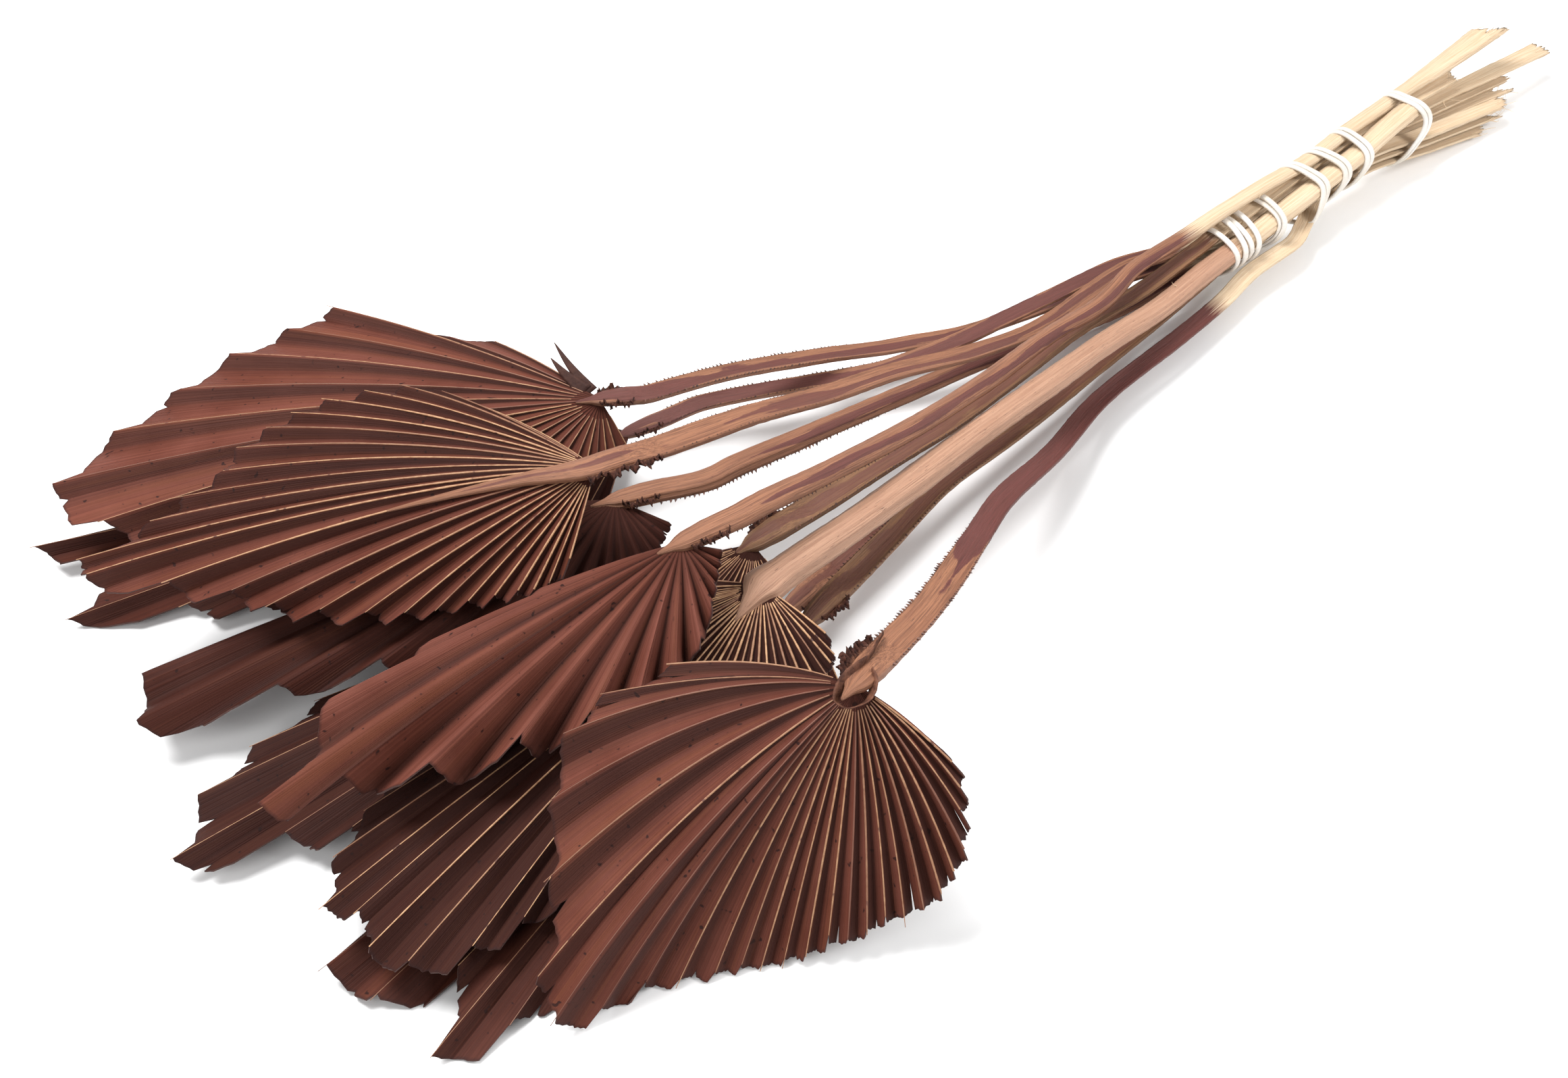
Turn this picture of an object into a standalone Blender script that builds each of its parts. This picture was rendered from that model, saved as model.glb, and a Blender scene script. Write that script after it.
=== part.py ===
"""Dried palm spears: ten dyed fan leaves cut to spear shapes, tied by the stalks into a bunch and laid down.

Lengths are written in millimetres and turned into metres where a mesh is made. The stalks run along X with
their cut ends at +X, Y runs to the far side of the bunch, and the surface it lies on is Z = 0.
"""

import math

import bmesh
import bpy
import numpy as np
from mathutils import Vector

MM = 0.001

# A pleated blade
BLADE_UPRIGHT_THICKNESS = 1.2  # measured upright, so that a steep pleat is still 0.6 thick
HUB_RADIUS = 3.5  # where the fold lines start round the hub
RADIAL_STEPS = (0.0, 0.13, 0.5, 1.0)  # stations along a fold line, as shares of its length
EDGE_STAGGER = 0.035  # how unevenly the folds are trimmed, as a share of their length
NORMAL_REACH = 6  # folds on each side whose directions settle which way is up for a fold

# The knuckle where a stalk becomes the rib of its blade
KNUCKLE_BACK = 8.0
STALK_GAP = 0.3
RIB_SIZES = ((5.0, 2.8), (4.6, 2.6), (2.6, 1.9), (1.0, 0.9))  # half width and height, knuckle to tip
RIB_SHOULDER = 0.35  # share of the rib's length at which it has its third size

# A stalk: a shallow channel between two thorny margins on one side, a round back on the other. Its section
# has corners as (sideways, upward), in shares of its half width and half height.
SECTION = (
    (-1.0, 0.55), (-0.82, -0.35), (-0.4, -1.0), (0.4, -1.0),
    (0.82, -0.35), (1.0, 0.55), (0.45, 0.2), (-0.45, 0.2),
)
SECTION_CORNERS = len(SECTION)
TIED_HALF_SIZES = (2.9, 1.5)  # half width and height of most stalks where they are tied
WIDENS_FROM, WIDEST_AT = 0.45, 0.95  # shares of a stalk's length, from its cut end
STALK_SPACING = 22.0  # between the rings of a stalk's mesh
END_PIECE = 2.0  # the straight last bit of a stalk, square to its knuckle
THORN_LENGTH, THORN_RADIUS = 1.4, 0.7
THORNS_FROM, THORNS_TO = 0.54, 0.95  # shares of a stalk's length that have thorns
MARGINS = ((0, 5), (5, 0))  # the corner of a stalk's section at each margin, and the one across from it

# The elastic band, doubled and wound round the stalks. Its path is given as (turns made, x), a turn being counted
# from the far side over the top, and it turns round an axis that rises towards the cut ends.
BAND_HALF_WIDTH, BAND_HALF_HEIGHT = 1.15, 0.6
BAND_CLEARANCE = 0.8
BAND_PAIR_OFFSET = 2.6
LOOSE_STALKS, LOOSE_UNTIL = (5, 10), 246  # two that lie outside the turns below this place along X
BAND_STEPS_A_TURN = 16
BAND_REACH = 4.0  # a stalk that ends this close beside the band still holds it out
BAND_AXIS = ((212, 0.5, 15), (259, 3.5, 18), (322, 6, 20))
BAND_TURNS = (
    (0.0, 322), (0.25, 320), (0.45, 324), (0.62, 313), (0.9, 298), (1.1, 282), (1.4, 286), (1.62, 280),
    (1.85, 271), (2.1, 266), (2.4, 273), (2.62, 266), (2.85, 258), (3.1, 252), (3.4, 260), (3.62, 252),
    (3.85, 243), (4.1, 234), (4.4, 235), (4.62, 230), (4.85, 224), (5.1, 219), (5.4, 220), (5.8, 214),
    (6.1, 209), (6.4, 210), (6.8, 206),
)
SUPPORT_DIRECTIONS = 24
CORNER_REACH = np.radians((-14, -7, 0, 7, 14))  # the band also clears the corners this far to its sides

BROWN = (0.100, 0.036, 0.024, 1.0)
TAN = (0.33, 0.185, 0.095, 1.0)
CREAM = (0.78, 0.73, 0.62, 1.0)

# Each leaf, in millimetres. rim holds points round its trimmed edge as (ridge number, x, y, z), and stalk
# the stalk's route from its cut end to the hub. slope is how steep its pleats are, in degrees, arch how far
# its folds bow upward, as a share of their length, and rib how far the stalk runs on into the blade. valley is
# where each valley lies between two ridges, a half if nothing is given, and most_rise caps a pleat's height as
# a share of its distance from the hub. tied is the stalk's half width and height at the tie.
LEAVES = (
    # far side, lying flat
    {
        "ridges": 22, "slope": 40, "arch": 0.03, "rib": 30, "thorns": 6,
        "half_width": 5.2, "half_height": 2.6, "back_up": False, "valley": 0.3, "hub": (-29, 57, 38),
        "rim": ((1, -35, 82, 34), (1.9, -36, 105, 34), (3.2, -51, 124, 34), (3.8, -64, 154, 34),
            (4.9, -84, 157, 33), (6, -106, 158, 32), (7.1, -132, 157, 30), (8.5, -166, 151, 27),
            (9.4, -188, 143, 24), (10, -174, 127, 21), (11.8, -131, 88, 16), (14.6, -81, 57, 14),
            (17.6, -49, 46, 18), (22, -27, 46, 22)),
        "stalk": ((384, 4.5, 7.6), (325, 7.2, 12.6), (284, 8.3, 16.9), (259, 6.8, 15.4),
            (233, 5.3, 13.4), (212, 3.8, 12.4), (190, 9.5, 11.9), (165, 16.5, 11.3), (128, 26, 9),
            (107, 30, 10), (84, 38, 12), (53, 44, 20), (11, 48, 32), (-15, 50, 37)),
    },
    # far side, underneath
    {
        "ridges": 20, "slope": 32, "arch": 0.01, "rib": 22, "thorns": 4,
        "half_width": 5.0, "half_height": 2.5, "back_up": False, "valley": 0.35, "hub": (-13, 65, 9),
        "rim": ((1, -32, 97, 10), (4.7, -92, 129, 10), (7.4, -158, 136, 9), (8.2, -191, 145, 7),
            (9.4, -197, 124, 4), (9.7, -203, 119, 2), (10.5, -178, 104, 2), (11.5, -155, 87, 4),
            (13.8, -116, 60, 4), (16.6, -76, 43, 6), (20, -39, 43, 7)),
        "stalk": ((386, 7.5, 10.4), (325, 8, 16), (284, 8.3, 19.7), (259, 6.8, 18.2), (233, 5.3, 16.2),
            (212, 3.8, 15.2), (190, 12, 15.6), (165, 18.5, 15.6), (103, 21, 18), (83, 25, 17),
            (66, 32, 14), (13, 56, 14)),
    },
    # top of the far group, face up
    {
        "ridges": 26, "slope": 50, "arch": 0.035, "rib": 62, "thorns": 6,
        "half_width": 5.6, "half_height": 3.0, "back_up": False, "valley": 0.35, "hub": (-62, 13, 60),
        "rim": ((1, -67, 71, 48), (2.6, -77, 89, 49), (4.3, -94, 99, 48), (5.9, -111, 105, 46),
            (6.8, -120, 106, 45), (8.1, -134, 103, 44), (9.9, -154, 97, 42), (11.2, -174, 97, 40),
            (12.5, -198, 97, 38), (13.4, -184, 82, 39), (14.6, -168, 65, 37), (15.9, -156, 50, 35),
            (17.8, -138, 31, 34), (19.3, -124, 21, 33), (21.6, -105, 12, 34), (23.6, -95, 4, 36),
            (26, -83, 0, 41)),
        "stalk": ((412, 9, 12), (325, 8.8, 19.4), (284, 8.3, 22.5), (259, 6.8, 21), (233, 5.3, 19),
            (212, 3.8, 18), (190, 7, 18.8), (165, 10.5, 20.6), (129, 9, 18), (90, 7, 26), (55, 8, 36),
            (20, 6, 46), (-11, 7, 54), (-40, 9, 58)),
    },
    # under the far group
    {
        "ridges": 18, "slope": 40, "arch": 0.02, "rib": 24, "thorns": 8,
        "half_width": 5.4, "half_height": 2.6, "back_up": True, "hub": (-49, 23, 31),
        "rim": ((1, -66, 40, 26), (3.1, -115, 56, 22), (4.3, -150, 57, 19), (4.8, -179, 63, 16),
            (5.2, -200, 67, 14), (5.7, -210, 58, 12), (6.3, -188, 44, 15), (6.8, -173, 36, 18),
            (7.4, -152, 28, 20), (9.2, -114, 7, 22), (10.8, -89, -1, 22), (12.2, -74, -4, 23),
            (13.3, -64, -3, 24), (14.7, -53, 1, 25), (17.2, -43, 6, 25), (18, -40, 8, 26)),
        "stalk": ((378, 4.5, 4), (325, 7.2, 8.8), (284, 8.3, 13.4), (259, 6.8, 11.9), (233, 5.3, 9.7),
            (212, 3.8, 8.6), (190, 5.5, 7.7), (165, 8, 6), (117, 11, 12), (89, 12, 16), (48, 12, 22),
            (14, 12, 27), (-17, 12, 31)),
    },
    # middle, its back up
    {
        "ridges": 16, "slope": 54, "arch": 0.035, "rib": 26, "thorns": 6,
        "half_width": 5.4, "half_height": 2.7, "back_up": True, "hub": (-62, -28, 60),
        "rim": ((1, -99, -11, 50), (2.4, -150, -4, 46), (3, -170, -4, 44), (3.3, -184, -6, 42),
            (3.9, -196, -18, 39), (4.4, -210, -25, 36), (4.8, -190, -21, 38), (5.2, -168, -24, 40),
            (6, -156, -37, 40), (6.7, -141, -44, 41), (7.5, -123, -49, 42), (8.2, -110, -52, 42),
            (9.1, -98, -55, 43), (11, -75, -52, 47), (12.2, -65, -45, 52), (16, -54, -36, 57)),
        "stalk": ((386, 17, 30), (325, 13, 27.5), (284, 9, 28.4), (259, 7.5, 26.4), (246, 7, 26.9),
            (233, 6.6, 27.5), (212, 6.3, 27), (190, 5.2, 26.4), (165, 3.5, 27.4), (141, -3, 28),
            (110, -8, 33), (64, -19, 42), (24, -26, 50), (-10, -29, 56), (-40, -30, 60)),
    },
    # middle, underneath
    {
        "ridges": 20, "slope": 34, "arch": 0.01, "rib": 24, "thorns": 8,
        "half_width": 5.6, "half_height": 2.8, "back_up": False, "hub": (-23, -12, 22),
        "rim": ((1, -58, 6, 17), (3.4, -124, 15, 11), (4.3, -160, 31, 8), (4.9, -180, 29, 7),
            (5.7, -203, 23, 7), (6.5, -216, 8, 6), (7.3, -192, -5, 7), (7.9, -182, -15, 8),
            (8.3, -165, -18, 9), (9.6, -125, -28, 11), (11.5, -79, -32, 16), (14, -47, -30, 15),
            (20, -23, -22, 18)),
        "stalk": ((358, 13, 21.5), (325, 10.5, 24), (284, 8.2, 25.5), (259, 6.8, 24.2), (233, 5.3, 22.4),
            (212, 3.8, 21.3), (190, 0.8, 21.4), (165, -0.9, 19.8), (129, -3, 22), (86, -10, 25),
            (46, -15, 28), (13, -15, 27)),
    },
    # under the middle one, long and narrow
    {
        "ridges": 26, "slope": 42, "arch": 0.025, "rib": 40, "thorns": 0,
        "half_width": 5.4, "half_height": 4.2, "tied": (4.2, 2.4), "back_up": True, "valley": 0.4,
        "hub": (-43, -41, 40),
        "rim": ((1, -61, -17, 35), (5.9, -124, -9, 26), (7.5, -152, -15, 23), (8.7, -175, -24, 20),
            (9.6, -190, -33, 18), (10.5, -202, -46, 15), (10.9, -189, -48, 17), (11.6, -194, -59, 15),
            (12.3, -189, -68, 14), (13.2, -173, -77, 15), (13.9, -157, -78, 16), (15.2, -127, -77, 18),
            (17.2, -92, -74, 22), (20.3, -65, -74, 27), (24.2, -45, -74, 33), (26, -39, -65, 36)),
        "stalk": ((318, 3.5, 28.6), (300, 1.6, 27.5), (284, 0.5, 24.4), (259, -0.9, 21.6),
            (233, -2.4, 19.2), (212, -3.9, 17.6), (190, -7.4, 19.4), (165, -12, 21), (124, -19, 28),
            (93, -25, 33), (52, -31, 37), (14, -37, 40), (-15, -40, 41)),
    },
    # near side, lowest
    {
        "ridges": 14, "slope": 28, "arch": 0.0, "rib": 22, "thorns": 0,
        "half_width": 5.0, "half_height": 2.5, "back_up": False, "hub": (-26, -34, 13),
        "rim": ((1, -68, 4, 4), (5.1, -140, -7, 2), (6.8, -173, -30, 2), (7.9, -198, -47, 4),
            (8.5, -213, -60, 2), (9.2, -192, -67, 2), (9.6, -178, -72, 2), (10.3, -145, -68, 3),
            (11.6, -111, -73, 3), (14, -68, -71, 6)),
        "stalk": ((370, -2.2, 5), (325, 0, 10.3), (284, 1.7, 16), (259, 0.2, 16.2), (233, -1.3, 14),
            (212, -2.8, 12.4), (190, -3, 10), (165, -3, 7), (109, -13, 9), (52, -20, 12), (14, -27, 14)),
    },
    # near side, under the front one
    {
        "ridges": 16, "slope": 32, "arch": 0.015, "rib": 24, "thorns": 4,
        "half_width": 5.2, "half_height": 2.6, "back_up": False, "valley": 0.4, "hub": (-31, -49, 24),
        "rim": ((1, -76, -38, 14), (3.4, -134, -44, 12), (5.6, -176, -72, 8), (6.5, -193, -88, 2),
            (7.4, -171, -94, 2), (8.1, -149, -93, 2), (9.1, -119, -89, 5), (11.7, -77, -89, 9),
            (16, -42, -83, 12)),
        "stalk": ((374, -2.2, 8.6), (325, 0.5, 13.4), (284, 1.7, 19.2), (259, 0.2, 19),
            (233, -1.3, 16.8), (212, -2.8, 15.2), (190, -6.2, 14), (165, -9.5, 13), (115, -18, 16),
            (71, -26, 20), (43, -30, 23), (9, -40, 26)),
    },
    # front, propped like a tent on its own edge
    {
        "ridges": 28, "slope": 50, "most_rise": 0.045, "arch": 0.04, "rib": 34, "thorns": 9,
        "half_width": 6.0, "half_height": 2.8, "back_up": False, "hub": (-63, -104, 66),
        "rim": ((1, -93, -65, 62), (2.6, -122, -57, 56), (3.5, -133, -63, 48), (4.5, -144, -74, 37),
            (5.5, -156, -87, 24), (6, -164, -94, 15), (6.4, -171, -98, 8), (7.6, -157, -105, 5),
            (9, -141, -107, 2), (11.2, -121, -116, 1), (13.6, -107, -123, 1), (16.4, -93, -132, 7),
            (20.2, -75, -141, 14), (22.6, -64, -145, 24), (25, -55, -139, 40), (26.8, -52, -132, 50),
            (28, -56, -121, 58)),
        "stalk": ((362, -2, 1.4), (325, -0.5, 7.2), (284, 1.7, 12.8), (259, 0.2, 13.4),
            (246, -5.8, 11.4), (233, -10.9, 11.2), (212, -11.8, 10.8), (190, -16, 9.8), (165, -20, 10.5),
            (120, -26, 12), (79, -41, 20), (44, -53, 30), (19, -66, 38), (-22, -88, 54)),
    },
)


def clear_scene():
    for obj in list(bpy.data.objects):
        bpy.data.objects.remove(obj, do_unlink=True)


def new_collection(name):
    collection = bpy.data.collections.new(name)
    bpy.context.scene.collection.children.link(collection)
    return collection


def material(name, colour, roughness):
    made = bpy.data.materials.new(name)
    made.use_nodes = True
    shader = made.node_tree.nodes["Principled BSDF"]
    shader.inputs["Base Color"].default_value = colour
    shader.inputs["Roughness"].default_value = roughness
    shader.inputs["Metallic"].default_value = 0.0
    return made


def curve_through(knots, values, at):
    """Points at the parameters of a smooth curve that passes through values at knots."""
    knots = np.asarray(knots, float)
    values = np.asarray(values, float)
    step = np.diff(knots)
    slope = np.diff(values, axis=0) / step[:, None]
    tangent = np.empty_like(values)
    tangent[0], tangent[-1] = slope[0], slope[-1]
    before, after = step[:-1, None], step[1:, None]
    product = slope[:-1] * slope[1:]
    weighted = slope[:-1] * (2 * before + after) + slope[1:] * (before + 2 * after)
    same_way = product > 0
    tangent[1:-1] = np.where(same_way, 3 * (before + after) * product / np.where(same_way, weighted, 1), 0)
    at = np.clip(at, knots[0], knots[-1])
    i = np.clip(np.searchsorted(knots, at, side="right") - 1, 0, len(knots) - 2)
    t = ((at - knots[i]) / step[i])[:, None]
    h = step[i][:, None]
    start = (2 * t**3 - 3 * t**2 + 1) * values[i] + (t**3 - 2 * t**2 + t) * h * tangent[i]
    end = (3 * t**2 - 2 * t**3) * values[i + 1] + (t**3 - t**2) * h * tangent[i + 1]
    return start + end


def unit(vector):
    return vector / np.linalg.norm(vector, axis=-1, keepdims=True)


def add_mesh(name, points, faces, collection, surface=None, smooth=False):
    mesh = bpy.data.meshes.new(name)
    mesh.from_pydata([tuple(p * MM) for p in points], [], faces)
    mesh.polygons.foreach_set("use_smooth", [smooth] * len(mesh.polygons))
    if surface:
        mesh.materials.append(surface)
    obj = bpy.data.objects.new(name, mesh)
    collection.objects.link(obj)
    return obj


def apply_modifiers(obj):
    graph = bpy.context.evaluated_depsgraph_get()
    obj.data = bpy.data.meshes.new_from_object(obj.evaluated_get(graph))
    obj.modifiers.clear()


def boolean(obj, other, operation):
    modifier = obj.modifiers.new(operation.title(), "BOOLEAN")
    modifier.object = other
    modifier.operation = operation
    modifier.solver = "MANIFOLD"


def route_points(route, spacing):
    """Evenly spaced points along the smooth curve through a route, and how far along it each one is."""
    route = np.asarray(route, float)
    knots = np.concatenate([[0], np.cumsum(np.linalg.norm(np.diff(route, axis=0), axis=1))])
    count = max(2, round(knots[-1] / spacing) + 1)
    at = np.linspace(0, knots[-1], count)
    return curve_through(knots, route, at), at


def stalk_outline(half_width, half_height, back_up):
    """The corners of a stalk's section as (sideways, upward), channel up or down."""
    turn = -1.0 if back_up else 1.0
    return [(turn * half_width * y, turn * half_height * z) for y, z in SECTION]


def loft(centres, outlines, ups=None, closed=False):
    """Points and faces of a solid with an outline of (sideways, upward) corners at each centre."""
    centres = np.asarray(centres, float)
    if closed:
        ahead = unit(np.roll(centres, -1, axis=0) - np.roll(centres, 1, axis=0))
    else:
        ahead = unit(np.gradient(centres, axis=0))
    if ups is None:
        ups = np.tile((0.0, 0.0, 1.0), (len(centres), 1))
    side = unit(np.cross(ups, ahead))
    above = np.cross(ahead, side)
    points = []
    for centre, s, a, outline in zip(centres, side, above, outlines):
        points += [centre + y * s + z * a for y, z in outline]
    sides, rings = len(outlines[0]), len(centres)
    faces = []
    for ring in range(rings if closed else rings - 1):
        this, following = ring * sides, (ring + 1) % rings * sides
        for k in range(sides):
            after = (k + 1) % sides
            faces.append((this + k, this + after, following + after, following + k))
    if not closed:
        faces.append(tuple(reversed(range(sides))))
        faces.append(tuple(range((rings - 1) * sides, rings * sides)))
    return points, faces


def face_outward(obj):
    shape = bmesh.new()
    shape.from_mesh(obj.data)
    bmesh.ops.recalc_face_normals(shape, faces=shape.faces)
    shape.to_mesh(obj.data)
    shape.free()


def stem_direction(leaf):
    """The unit vector from the hub back along the stalk."""
    return unit(np.subtract(leaf["stalk"][-1], leaf["hub"]).astype(float))


def fold_lines(leaf, seed):
    """For each fold: its start, its end, the way up there, and its rise or fall per millimetre of length."""
    ridges = leaf["ridges"]
    hub = np.array(leaf["hub"], float)
    numbers = 1 + np.arange(2 * ridges - 1) / 2
    numbers[1::2] += leaf.get("valley", 0.5) - 0.5
    rim = np.array(leaf["rim"], float)
    ends = curve_through(rim[:, 0], rim[:, 1:], numbers)
    outward = unit(ends - hub)
    trim = 1 + EDGE_STAGGER * (np.random.default_rng(seed).random(len(ends)) - 0.7)
    ends = hub + (ends - hub) * trim[:, None]
    starts = hub + outward * HUB_RADIUS
    normals = np.cross(outward, np.gradient(outward, axis=0))
    normals *= np.sign(normals[:, 2].sum())
    near = np.abs(np.subtract.outer(np.arange(len(ends)), np.arange(len(ends)))) <= NORMAL_REACH
    up = unit(near @ normals)
    half_angle = np.arccos(np.clip((outward[1:] * outward[:-1]).sum(axis=1), -1, 1))
    half_angle = np.interp(np.arange(len(ends)), np.arange(len(half_angle)) + 0.5, half_angle)
    rise = 0.5 * math.tan(math.radians(leaf["slope"])) * half_angle
    rise = np.minimum(rise, leaf.get("most_rise", 1.0))
    rise[1::2] *= -1
    return starts, ends, up, rise


def blade_sheet(leaf, seed):
    """The middle surface of a blade, folded along lines that fan out from the hub."""
    starts, ends, up, rise = fold_lines(leaf, seed)
    length = np.linalg.norm(ends - starts, axis=1, keepdims=True)
    points = []
    for share in RADIAL_STEPS:
        middle = starts + (ends - starts) * share
        middle[:, 2] += leaf["arch"] * 4 * share * (1 - share) * length[:, 0]
        points.extend(middle + up * (rise[:, None] * length * share))
    folds = len(starts)
    faces = []
    for step in range(len(RADIAL_STEPS) - 1):
        for fold in range(folds - 1):
            a = step * folds + fold
            b, c, d = a + 1, a + folds + 1, a + folds
            faces += [(a, b, c), (a, c, d)]
    return points, faces


def rib_centres(leaf, seed):
    """The knuckle behind the hub and the rib that runs out of it along the middle ridge."""
    starts, ends, up, rise = fold_lines(leaf, seed)
    middle = 2 * (leaf["ridges"] // 2)
    hub = np.array(leaf["hub"], float)
    length = np.linalg.norm(ends[middle] - starts[middle])
    centres = [hub + stem_direction(leaf) * KNUCKLE_BACK, hub]
    for reach in (RIB_SHOULDER, 1.0):
        share = reach * leaf["rib"] / length
        point = starts[middle] + (ends[middle] - starts[middle]) * share
        point[2] += leaf["arch"] * 4 * share * (1 - share) * length
        centres.append(point + up[middle] * rise[middle] * length * share)
    return centres


def add_blade(name, leaf, seed, parts, helpers, surface):
    points, faces = blade_sheet(leaf, seed)
    blade = add_mesh(name, points, faces, parts, surface)
    face_outward(blade)
    thicken = blade.modifiers.new("Thickness", "SOLIDIFY")
    thicken.thickness = BLADE_UPRIGHT_THICKNESS * MM
    thicken.offset = 0.0
    outlines = [stalk_outline(*size, leaf["back_up"]) for size in RIB_SIZES]
    rib = add_mesh(name + ".rib", *loft(rib_centres(leaf, seed), outlines), helpers)
    face_outward(rib)
    boolean(blade, rib, "UNION")
    apply_modifiers(blade)
    return blade


def add_stalk(name, leaf, parts, surface):
    hub = np.array(leaf["hub"], float)
    back = stem_direction(leaf)
    end = hub + back * (KNUCKLE_BACK + STALK_GAP)
    centres, at = route_points([*leaf["stalk"], end + back * END_PIECE], STALK_SPACING)
    centres, at = np.vstack([centres, end]), np.append(at, at[-1] + END_PIECE)
    grown = np.clip((at / at[-1] - WIDENS_FROM) / (WIDEST_AT - WIDENS_FROM), 0, 1) ** 1.3
    tied = leaf.get("tied", TIED_HALF_SIZES)
    outlines = []
    for share in grown:
        half_width = tied[0] + (leaf["half_width"] - tied[0]) * share
        half_height = tied[1] + (leaf["half_height"] - tied[1]) * share
        outlines.append(stalk_outline(half_width, half_height, leaf["back_up"]))
    outlines[-1] = stalk_outline(*RIB_SIZES[0], leaf["back_up"])
    stalk = add_mesh(name, *loft(centres, outlines), parts, surface, smooth=True)
    face_outward(stalk)
    return stalk


def hull_radius(sections, angle):
    """How far from the axis a taut band lies at an angle, round the stalks' corners at one place along X."""
    directions = np.arange(SUPPORT_DIRECTIONS) * 2 * math.pi / SUPPORT_DIRECTIONS
    normals = np.stack([np.cos(directions), np.sin(directions)], axis=1)
    support = (sections @ normals.T).max(axis=0) + BAND_CLEARANCE + BAND_HALF_HEIGHT
    facing = np.cos(directions - angle)
    ahead = facing > 0.2
    return (support[ahead] / facing[ahead]).min()


def add_band(name, stalks, parts, surface):
    corners = [np.array([v.co for v in stalk.data.vertices]) / MM for stalk in stalks]
    inner = [c for number, c in enumerate(corners, start=1) if number not in LOOSE_STALKS]
    turns = np.array([t for t, x in BAND_TURNS])
    places = np.array([[x] for t, x in BAND_TURNS], float)
    axis_x, axis_y, axis_z = np.array(BAND_AXIS, float).T
    steps = np.linspace(turns[0], turns[-1], round((turns[-1] - turns[0]) * BAND_STEPS_A_TURN))
    along = curve_through(turns, places, steps)[:, 0]
    centres, ups = [], []
    for offset, order in ((0.0, slice(None)), (BAND_PAIR_OFFSET, slice(None, None, -1))):
        for turn, x in zip(steps[order], along[order]):
            angle = 2 * math.pi * turn
            held = corners if x > LOOSE_UNTIL else inner
            sections = sections_at(held, x + offset)
            axis = np.array((np.interp(x, axis_x, axis_y), np.interp(x, axis_x, axis_z)))
            radius = max(hull_radius(sections - axis, angle + turned) for turned in CORNER_REACH)
            outward = np.array((0.0, math.cos(angle), math.sin(angle)))
            centres.append(np.array((x + offset, *axis)) + outward * radius)
            ups.append(outward)
    w, h = BAND_HALF_WIDTH, BAND_HALF_HEIGHT
    outlines = [[(-w, -h), (w, -h), (w, h), (-w, h)]] * len(centres)
    band = add_mesh(name, *loft(centres, outlines, ups, closed=True), parts, surface, smooth=True)
    face_outward(band)
    return band


def sections_at(corners, x):
    """The (y, z) corners of every stalk that the band holds, cut at one place along X."""
    cut = []
    for points in corners:
        rings = points.reshape(-1, SECTION_CORNERS, 3)
        middle = rings[:, :, 0].mean(axis=1)
        order = np.argsort(middle)
        if not middle.min() - BAND_REACH < x < middle.max() + BAND_REACH:
            continue
        for k in range(SECTION_CORNERS):
            line = rings[order, k]
            cut.append((np.interp(x, line[:, 0], line[:, 1]), np.interp(x, line[:, 0], line[:, 2])))
    return np.array(cut)


def add_thorns(stalk, leaf, seed, helpers):
    """Small thorns on both margins, joined to the stalk."""
    random = np.random.default_rng(seed)
    rings = np.array([v.co for v in stalk.data.vertices]).reshape(-1, SECTION_CORNERS, 3) / MM
    shape = bmesh.new()
    for corner, opposite in MARGINS:
        for k in range(leaf["thorns"]):
            place = THORNS_FROM + (THORNS_TO - THORNS_FROM) * (k + random.random() * 0.7) / leaf["thorns"]
            ring = place * (len(rings) - 1)
            low = int(ring)
            tip = rings[low] + (rings[low + 1] - rings[low]) * (ring - low)
            outward = Vector(unit(tip[corner] - tip[opposite]))
            cone = bmesh.ops.create_cone(
                shape,
                cap_ends=True,
                segments=3,
                radius1=THORN_RADIUS * MM,
                radius2=0.0,
                depth=2 * THORN_LENGTH * MM,
            )
            turn = outward.to_track_quat("Z", "X").to_matrix().to_4x4()
            bmesh.ops.transform(shape, matrix=turn, verts=cone["verts"])
            bmesh.ops.translate(shape, vec=Vector(tip[corner] * MM), verts=cone["verts"])
    mesh = bpy.data.meshes.new(stalk.name + ".thorns")
    shape.to_mesh(mesh)
    shape.free()
    thorns = bpy.data.objects.new(mesh.name, mesh)
    helpers.objects.link(thorns)
    boolean(stalk, thorns, "UNION")
    apply_modifiers(stalk)


def press_flat(objects):
    """Trims what would reach below the surface, which leaves the small flat spots that the bunch rests on."""
    bpy.ops.mesh.primitive_cube_add(size=1.0, location=(0.0, 0.0, -0.5))
    floor = bpy.context.object
    floor.name = "floor"
    floor.scale = (2.0, 2.0, 1.0)
    for obj in objects:
        if min(v.co.z for v in obj.data.vertices) < 0:
            boolean(obj, floor, "DIFFERENCE")
            apply_modifiers(obj)
    bpy.data.objects.remove(floor, do_unlink=True)


def centre_over_origin(objects):
    """Moves every object along X and Y, so that the bunch is centred over the origin."""
    corners = np.array([v.co for obj in objects for v in obj.data.vertices])
    low, high = corners.min(axis=0), corners.max(axis=0)
    shift = Vector((-(low[0] + high[0]) / 2, -(low[1] + high[1]) / 2, 0.0))
    for obj in objects:
        for vertex in obj.data.vertices:
            vertex.co += shift


def remove_helpers(helpers):
    for obj in list(helpers.objects):
        bpy.data.objects.remove(obj, do_unlink=True)
    bpy.data.collections.remove(helpers)


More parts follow.
